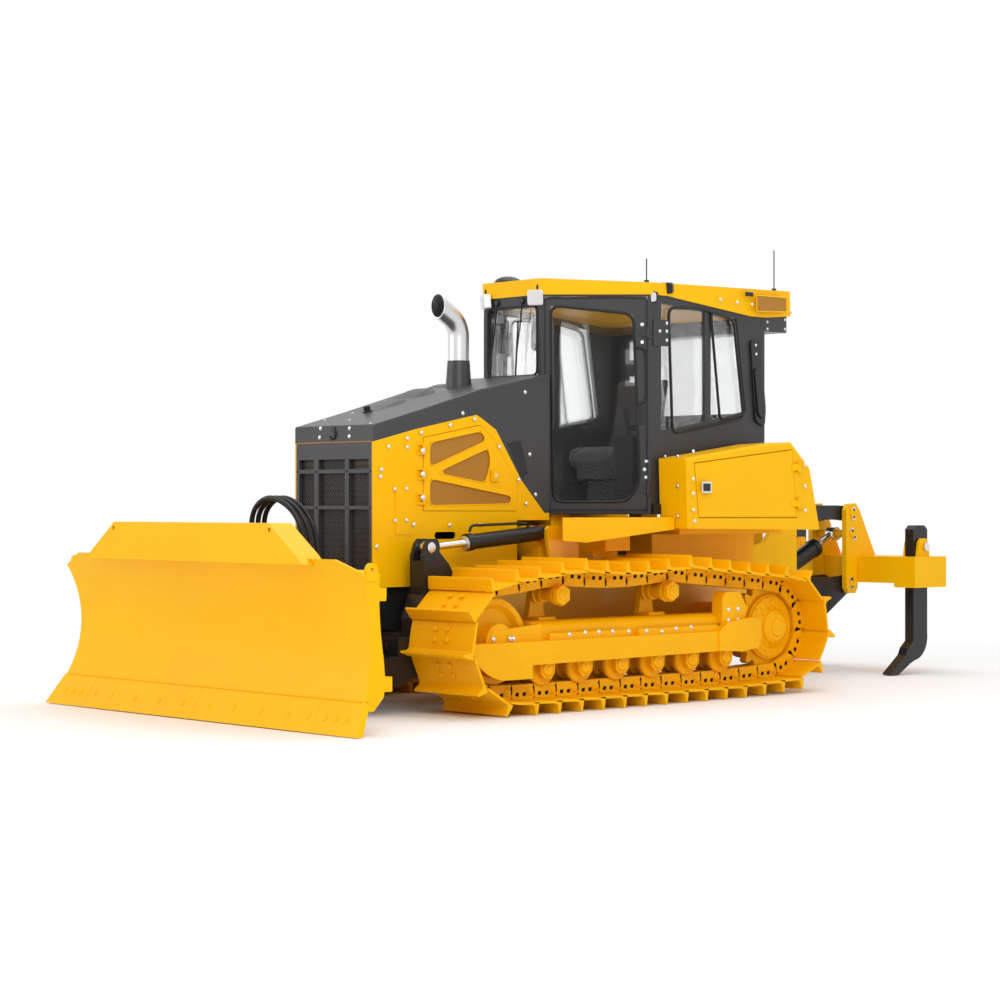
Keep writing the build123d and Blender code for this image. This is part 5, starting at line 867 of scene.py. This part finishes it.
def wallPlate(outline, wall, low, high, way):
    # a plate on a cab wall between two distances out from it, its order turned so that faces point outwards
    near, far = (wallPoints(outline, wall, out, way) for out in (low, high))
    middle = near.mean(0)
    fan = np.cross(near - middle, np.roll(near, -1, 0) - middle).sum(0)
    if fan @ (far[0] - near[0]) < 0:
        near, far = near[::-1], far[::-1]
    count = len(near)
    ends = np.stack((np.arange(count)[::-1], np.arange(count) + count))
    return np.vstack((near, far)), [gridFaces(2, count, wrapColumns=True)[:, ::-1], ends]


def along(outline):
    # (x, z) pairs on the cab's side wall as (distance from its front corner, z) pairs
    (startX, startY), (endX, endY) = cab["walls"]["side"]
    slant = math.hypot(endX - startX, endY - startY) / (startX - endX)
    return [((startX - x) * slant, z) for x, z in outline]


def facing(wall, way):
    # the level direction out of a cab wall
    return np.array(cab["facing"][wall]) * (1, way, 1)


def wallTube(path, wall, out, radius, way, count=8, closed=True):
    # a round bead that follows a path on a cab wall
    return tube(wallPoints(path, wall, out, way), radius, facing(wall, way), count, closed)


def wallBolts(name, pairs, wall, out, body, radius, side, way):
    # bolts at (distance, height) pairs on a cab wall
    bolts(f"{name}.{side}", wallPoints(pairs, wall, out, way), facing(wall, way), body, radius)


for side, way in sides:
    door, mirrored = f"door_{side}", (1, way, 1)
    makePiece(f"doorSeal.{side}", *wallTube(rounded(cab["doorGlass"], 0.07, 6), "door", -0.001, cab["seal"],
              way), door, rubber, smooth=True)
    makePiece(f"doorEdgeSeal.{side}", *wallTube(rounded(rectangle(*cab["doorEdge"]), 0.03, 5), "door", -0.002,
              0.007, way, 6), door, blackPaint, smooth=True)
    makePiece(f"doorBar.{side}", *wallTube(smoothPath(cab["doorBar"], 6), "door", 0.004, 0.009, way,
              closed=False), door, blackPaint, smooth=True)
    handle = [wallPlate(rounded(rectangle(*box), corner), "door", *depths, way)
              for box, corner, depths in cab["handle"]]
    makePiece(f"doorHandle.{side}", *joined(handle), door, plastic, bevel=0.002)
    seals = [wallTube(rounded(along(cab["quarterGlass"]), 0.06, 6), "side", 0.001, cab["quarterSeal"], way),
             wallTube(rounded(along(cab["slider"]), 0.045, 6), "side", 0.004, cab["seal"], way)]
    makePiece(f"quarterSeals.{side}", *joined(seals), "machine", rubber, smooth=True)
    hinges = [wallPlate(rounded(along(rectangle(*box)), 0.012), "side", 0.0, cab["hingeThick"], way)
              for box in cab["hinges"]]
    makePiece(f"hingePlates.{side}", *joined(hinges), "machine", cabCharcoal, bevel=0.0015)
    wallBolts("plateBolts", along(cab["plateBolts"]), "side", cab["hingeThick"], "machine", 0.009, side, way)
    wallBolts("doorBolts", cab["doorBolts"], "door", 0.0005, door, 0.009, side, way)
    sill = [wallPlate(rectangle(*box), wall, 0.0, cab["sillOut"], way) for wall, box in cab["sill"]]
    makePiece(f"sill.{side}", *joined(sill), "machine", blackPaint, bevel=0.002)
    corner = [wallPlate(along(rounded(outline, 0.03, 5)), "side", *depths, way)
              for outline, depths in zip(cab["fender"], cab["fenderDepths"])]
    makePiece(f"cornerFender.{side}", *joined(corner), "machine", blackPaint, bevel=0.004)
    wallBolts("cornerBolts", along(cab["fenderBolts"]), "side", 0.018, "machine", 0.008, side, way)
    lampFacing = np.array(cab["lampFacing"]) * mirrored
    for lampName, place, (width, height), housing, glass in cab["lamps"]:
        outline = rounded(rectangle(-width, width, -height, height), 0.018, 5)
        matrix = frames((np.array(place) * mirrored + lampFacing * cab["lampForward"],), lampFacing)
        shell, face = flatPrism(outline, topFace, -0.05, 0.0), flatPrism(outline * 0.86, topFace, 0.0, 0.004)
        makePiece(f"{lampName}Lamp.{side}", *scattered(shell, matrix), "machine", housing, bevel=0.004)
        makePiece(f"{lampName}LampGlass.{side}", *scattered(face, matrix), "machine", glass, bevel=0.001)
    bracket = tube(np.array(cab["bracket"]) * mirrored, 0.012, (0, 1, 0), 8)
    makePiece(f"lampBracket.{side}", *bracket, "machine", blackPaint, smooth=True)
    ventRim = sideRim(rounded(roof["vent"], 0.006, 3), roof["rimOut"], 0.0035, way)
    makePiece(f"roofVentRim.{side}", *ventRim, "machine", yellowPaint)
    mirror = flatPrism(rounded(rectangle(*cab["mirrorFace"]), 0.03, 6), topFace, -0.012, 0.012)
    mirror = scattered(mirror, frames((np.array(cab["mirror"]) * mirrored,), (-1, 0, 0)))
    makePiece(f"frontMirror.{side}", *mirror, "machine", plastic, bevel=0.003)
sideBolts("roofBolts", roof["bolts"], roof["boltsOut"], 0.010)
sidePlates("roofVent", roof["vent"], roof["out"], roof["ventOut"], "machine", panelMesh, bevel=0)
sidePlates("roofLatch", rounded(rectangle(*roof["latch"]), 0.006), roof["out"], roof["latchOut"], "machine",
           blackPaint)
sideBolts("intakeBolts", roof["intakeBolts"], roof["intakeOut"], 0.008)

# two wipers with their small motors, and the seal of the front pane
front = {"wipersY": (0.10, -0.14), "arm": ((0.577, 0, 2.545), (0.579, -0.015, 2.40), (0.578, -0.05, 2.22)),
         "blade": ((0.580, -0.035, 2.42), (0.580, -0.06, 2.06)), "motor": (0.573, 0, 2.545),
         "motorShape": ((0.022, -0.01), (0.022, 0.008), (0.014, 0.014)), "sealX": 0.571,
         "seal": (-0.235, 0.235, 2.06, 2.51)}
for number, y in enumerate(front["wipersY"]):
    arm, blade, place = (np.array(front[name]) + (0, y, 0) for name in ("arm", "blade", "motor"))
    motor = scattered(turned(front["motorShape"], 14), frames((place,), ahead))
    makePiece(f"wiper{number + 1}", *joined((tube(smoothPath(arm, 6), 0.005, (0, 1, 0), 6),
              tube(blade, 0.006, (0, 1, 0), 6), motor)), "machine", blackPaint, smooth=True)
frontSeal = np.insert(rounded(rectangle(*front["seal"]), 0.05, 6), 0, front["sealX"], axis=1)
makePiece("frontSeal", *tube(frontSeal, 0.008, ahead, 8, closed=True), "machine", rubber, smooth=True)
print("cab done")

# rear tanks: bolts on the front face and along the doors, latches on the doors
tanks = {"bolts": ((-0.035, 1.570), (-0.035, 1.395), (-0.035, 1.304), (-0.038, 1.199), (-0.049, 1.128),
                   (-1.130, 1.498), (-1.130, 1.355), (-1.130, 1.195)), "out": 1.0305, "frontX": 0.0035,
         "frontBolts": ((0.93, 1.54), (0.93, 1.35), (0.93, 1.16), (0.82, 1.54)),
         "latch": (-0.113, -0.204, 1.306, 1.379), "inner": (-0.125, -0.192, 1.318, 1.367),
         "depths": (1.0302, 1.0345, 1.0365)}
sideBolts("tankBolts", tanks["bolts"], tanks["out"], 0.010)
for side, way in sides:
    bolts(f"tankFrontBolts.{side}", [(tanks["frontX"], way * y, z) for y, z in tanks["frontBolts"]], ahead,
          "machine", 0.010)
sidePlates("tankLatch", rounded(rectangle(*tanks["latch"]), 0.012), *tanks["depths"][:2], "access_door_*",
           zincPlate)
sidePlates("tankLatchInner", rounded(rectangle(*tanks["inner"]), 0.006), *tanks["depths"][1:],
           "access_door_*", blackPaint)

# blade: flat bolt heads on the cutting edge and its end bits, and the weld along the spill guard
edge = {"low": (3.119, 0.004), "high": (3.005, 0.181), "boltLine": 0.46, "lift": 0.0004,
        "boltsY": (0.13, 0.37, 0.62, 0.87, 1.05, 1.20, 1.29, 1.38),
        "boltHead": ((0.019, 0.0), (0.019, 0.003), (0.013, 0.006)), "weld": (3.0065, 0.1835),
        "weldHalf": 1.44}
low, high = np.array(edge["low"]), np.array(edge["high"])
run = (high - low) / np.linalg.norm(high - low)
boltX, boltZ = low + (high - low) * edge["boltLine"]
discs("edgeBolts", edge["boltHead"], 16, [(boltX + edge["lift"], way * y, boltZ) for side, way in sides
      for y in edge["boltsY"]], (run[1], 0, -run[0]), "blade", yellowPaint, upward=(0, 1, 0))
weldX, weldZ = edge["weld"]
weldY = np.linspace(-edge["weldHalf"], edge["weldHalf"], 49)
makePiece("edgeWeld", *tube(np.stack((weldX + 0 * weldY, weldY, weldZ + 0 * weldY), 1), 0.005, (0, 0, 1), 6),
          "blade", yellowPaint, smooth=True)

# lift rams: silver glands, hose pipes along the barrels and pin heads
lift = {"y": 0.54, "gland": ((0.046, -0.008), (0.046, 0.010), (0.036, 0.014)), "glandPlace": (1.466, 0.998),
        "axis": (0.98, 0.0, -0.03), "pipe": ((1.430, 1.070), (1.405, 1.104), (1.33, 1.108), (1.18, 1.112),
                                             (0.98, 1.116), (0.93, 1.09)),
        "pin": ((0.032, 0), (0.032, 0.006), (0.024, 0.010)), "pinPlace": (1.786, 0.978),
        "pinOut": 0.600}
for side, way in sides:
    barrel, y = f"lift_barrel_{side}", way * lift["y"]
    discs(f"liftGland.{side}", lift["gland"], 24, onSide((lift["glandPlace"],), y), lift["axis"], barrel,
          zincPlate)
    pipe = tube(smoothPath(onSide(lift["pipe"], y), 6), 0.009, (0, 1, 0), 8)
    makePiece(f"liftPipe.{side}", *pipe, barrel, blackPaint, smooth=True)
sideDiscs("liftPinHead", lift["pin"], 20, (lift["pinPlace"],), lift["pinOut"], "push_frame", zincPlate)

# ripper: lock plates with two bolts each over the pins, and a washer on each shank's pin
ripper = {"locks": ((-2.690, 1.165, 0.0), (-2.685, 1.015, -0.5), (-2.668, 0.655, 0.0)),
          "plate": (-0.020, 0.020, -0.048, 0.048), "depths": (0.1795, 0.1875), "boltUp": 0.026,
          "washer": ((0.030, 0.0), (0.030, 0.006), (0.022, 0.008)), "washerPlace": (-2.94, 0.925),
          "washerOut": 0.655}
lockPlate = rounded(rectangle(*ripper["plate"]), 0.018, 5)
outlines, dots = [], []
for x, z, lean in ripper["locks"]:
    turn = np.array(((math.cos(lean), math.sin(lean)), (-math.sin(lean), math.cos(lean))))
    outlines.append(lockPlate @ turn + (x, z))
    dots.append(np.array(((0, -ripper["boltUp"]), (0, ripper["boltUp"]))) @ turn + (x, z))
for side, way in sides:
    plates = [sidePrism(outline, *ripper["depths"], way) for outline in outlines]
    makePiece(f"ripperLocks.{side}", *joined(plates), "ripper_carriage", zincPlate, bevel=0.001)
sideBolts("ripperLockBolts", np.vstack(dots), ripper["depths"][1], 0.009, "ripper_carriage", blackPaint)
sideDiscs("shankWasher", ripper["washer"], 20, (ripper["washerPlace"],), ripper["washerOut"],
          "ripper_carriage", zincPlate)
print("rams, blade and ripper done")

# operator's seat: a pedestal and three upholstered pads puffed up by a short cloth run
seatParts = {"voxel": 0.006, "pressure": 4.0, "cap": 0.018, "clothFrames": 20, "fill": 0.6,
             "pads": (("seatBase", rectangle(-0.630, -0.150, 1.492, 1.600), 0.03, 0.222),
                      ("seatBack", ((-0.635, 1.575), (-0.535, 1.630), (-0.616, 2.085), (-0.690, 2.085)), 0.03,
                       0.212),
                      ("seatHead", ((-0.618, 2.110), (-0.690, 2.110), (-0.700, 2.222), (-0.630, 2.222)), 0.02,
                       0.125)),
             "pedestal": (((-0.56, -0.26, -0.15, 0.15), (1.20, 1.40)),
                          ((-0.60, -0.20, -0.19, 0.19), (1.40, 1.486))),
             "armRest": ((-0.60, 1.74), (-0.30, 1.72), (-0.29, 1.76), (-0.60, 1.79)),
             "armDepths": ((0.190, 0.235), (-0.235, -0.190))}
pedestal = [flatPrism(rectangle(*box), topFace, *heights) for box, heights in seatParts["pedestal"]]
pedestal += [flatPrism(seatParts["armRest"], sideFace, *depths) for depths in seatParts["armDepths"]]
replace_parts(makePiece("seatPedestal", *joined(pedestal), "machine", plastic, bevel=0.006), "seat")


def meshPoints(mesh):
    # a mesh's vertices as rows of x, y and z
    flat = np.empty(len(mesh.vertices) * 3, np.float32)
    mesh.vertices.foreach_get("co", flat)
    return flat.reshape(-1, 3)


def puffed(piece):
    # a block remeshed finely and swelled by cloth pressure, with each vertex's move capped
    remesh = piece.modifiers.new("remesh", "REMESH")
    remesh.mode = "VOXEL"
    remesh.voxel_size = seatParts["voxel"]
    fine = bpy.data.meshes.new_from_object(piece.evaluated_get(bpy.context.evaluated_depsgraph_get()))
    piece.modifiers.clear()
    piece.data = fine
    before = meshPoints(fine)
    cloth = piece.modifiers.new("cloth", "CLOTH")
    cloth.settings.use_pressure = True
    cloth.settings.uniform_pressure_force = seatParts["pressure"]
    cloth.settings.effector_weights.gravity = 0.0
    for number in range(1, seatParts["clothFrames"] + 1):
        bpy.context.scene.frame_set(number)
    move = meshPoints(piece.evaluated_get(bpy.context.evaluated_depsgraph_get()).to_mesh()) - before
    far = np.linalg.norm(move, axis=1, keepdims=True)
    move *= np.minimum(1.0, seatParts["cap"] / np.maximum(far, 1e-9))
    piece.modifiers.clear()
    fine.vertices.foreach_set("co", (before + move).ravel())
    fine.materials.clear()
    fine.materials.append(clothDark)
    fine.shade_smooth()
    bpy.context.scene.frame_set(1)


for name, outline, corner, half in seatParts["pads"]:
    pad = makePiece(name, *flatPrism(rounded(outline, corner), sideFace, -half, half), "machine", clothDark)
    puffed(pad)
print("seat done")

# stage: a pale floor that turns pure white away from the machine, and a soft plain light
stage = {"floorHalf": 40.0, "floorZ": -0.002, "fadeFrom": 2.1, "fadeTo": 4.2, "fadeStretch": (0.62, 1.0, 0.0),
         "pale": ((0.90, 0.90, 0.90), (0.94, 0.94, 0.94)), "world": 0.7, "lookAt": (0, 0, 1),
         "lamps": (("keyLamp", (6.0, 7.5, 6.5), 5.0, 330.0), ("fillLamp", (9.0, -5.0, 4.0), 6.0, 150.0),
                   ("topLamp", (-1.0, 0.0, 8.0), 6.0, 260.0))}
white = (1.0, 1.0, 1.0)


def floorMaterial():
    # pale ground by the machine that fades, with distance from it, into plain white light
    material, tree, shader, coords = newMaterial("paleFloor")
    grit = noise(tree, coords, 30.0, 4.0)
    fill(tree, shader, {"Roughness": 0.9, "Base Color": ramp(tree, grit, 0.3, 0.7, *stage["pale"]),
                        "Normal": bump(tree, grit, 0.02, 0.002)})
    stretched = newNode(tree, "VectorMath", {0: coords, 1: stage["fadeStretch"]}, 0, operation="MULTIPLY")
    length = newNode(tree, "VectorMath", {0: stretched}, "Value", operation="LENGTH")
    away = remap(tree, length, stage["fadeFrom"], stage["fadeTo"], 0.0, 1.0)
    whiteLight = newNode(tree, "Emission", {"Color": white}, 0)
    mixed = newNode(tree, "MixShader", {0: away, 1: shader.outputs[0], 2: whiteLight}, 0)
    fill(tree, tree.nodes["Material Output"], {"Surface": mixed})
    return material


half = stage["floorHalf"]
corners = [(x, y, stage["floorZ"]) for x, y in rectangle(-half, half, -half, half)]
makePiece("floor", corners, [((0, 1, 2, 3),)], None, floorMaterial())


def areaLight(name, place, size, watts):
    # a square soft lamp turned to look at the machine
    data = bpy.data.lights.new(name, "AREA")
    data.shape = "SQUARE"
    data.size = size
    data.energy = watts
    lamp = bpy.data.objects.new(name, data)
    lamp.location = place
    lamp.rotation_euler = (Vector(stage["lookAt"]) - Vector(place)).to_track_quat("-Z", "Y").to_euler()
    collection.objects.link(lamp)


for lamp in stage["lamps"]:
    areaLight(*lamp)

# the world lights the machine softly, and is white where the camera, gloss or glass sees it
world = bpy.data.worlds.new("softWorld")
bpy.context.scene.world = world
world.use_nodes = True
tree = world.node_tree
background = tree.nodes["Background"]
fill(tree, background, {"Color": white, "Strength": stage["world"]})
seenWhite = newNode(tree, "Background", {"Color": white, "Strength": 1.0}, 0)
rays = tree.nodes.new("ShaderNodeLightPath").outputs
seen = calculate(tree, "MAXIMUM", calculate(tree, "MAXIMUM", rays["Is Camera Ray"], rays["Is Glossy Ray"]),
                 rays["Is Transmission Ray"])
worldMix = newNode(tree, "MixShader", {0: seen, 1: background.outputs[0], 2: seenWhite}, 0)
fill(tree, tree.nodes["World Output"], {"Surface": worldMix})
print("stage done")
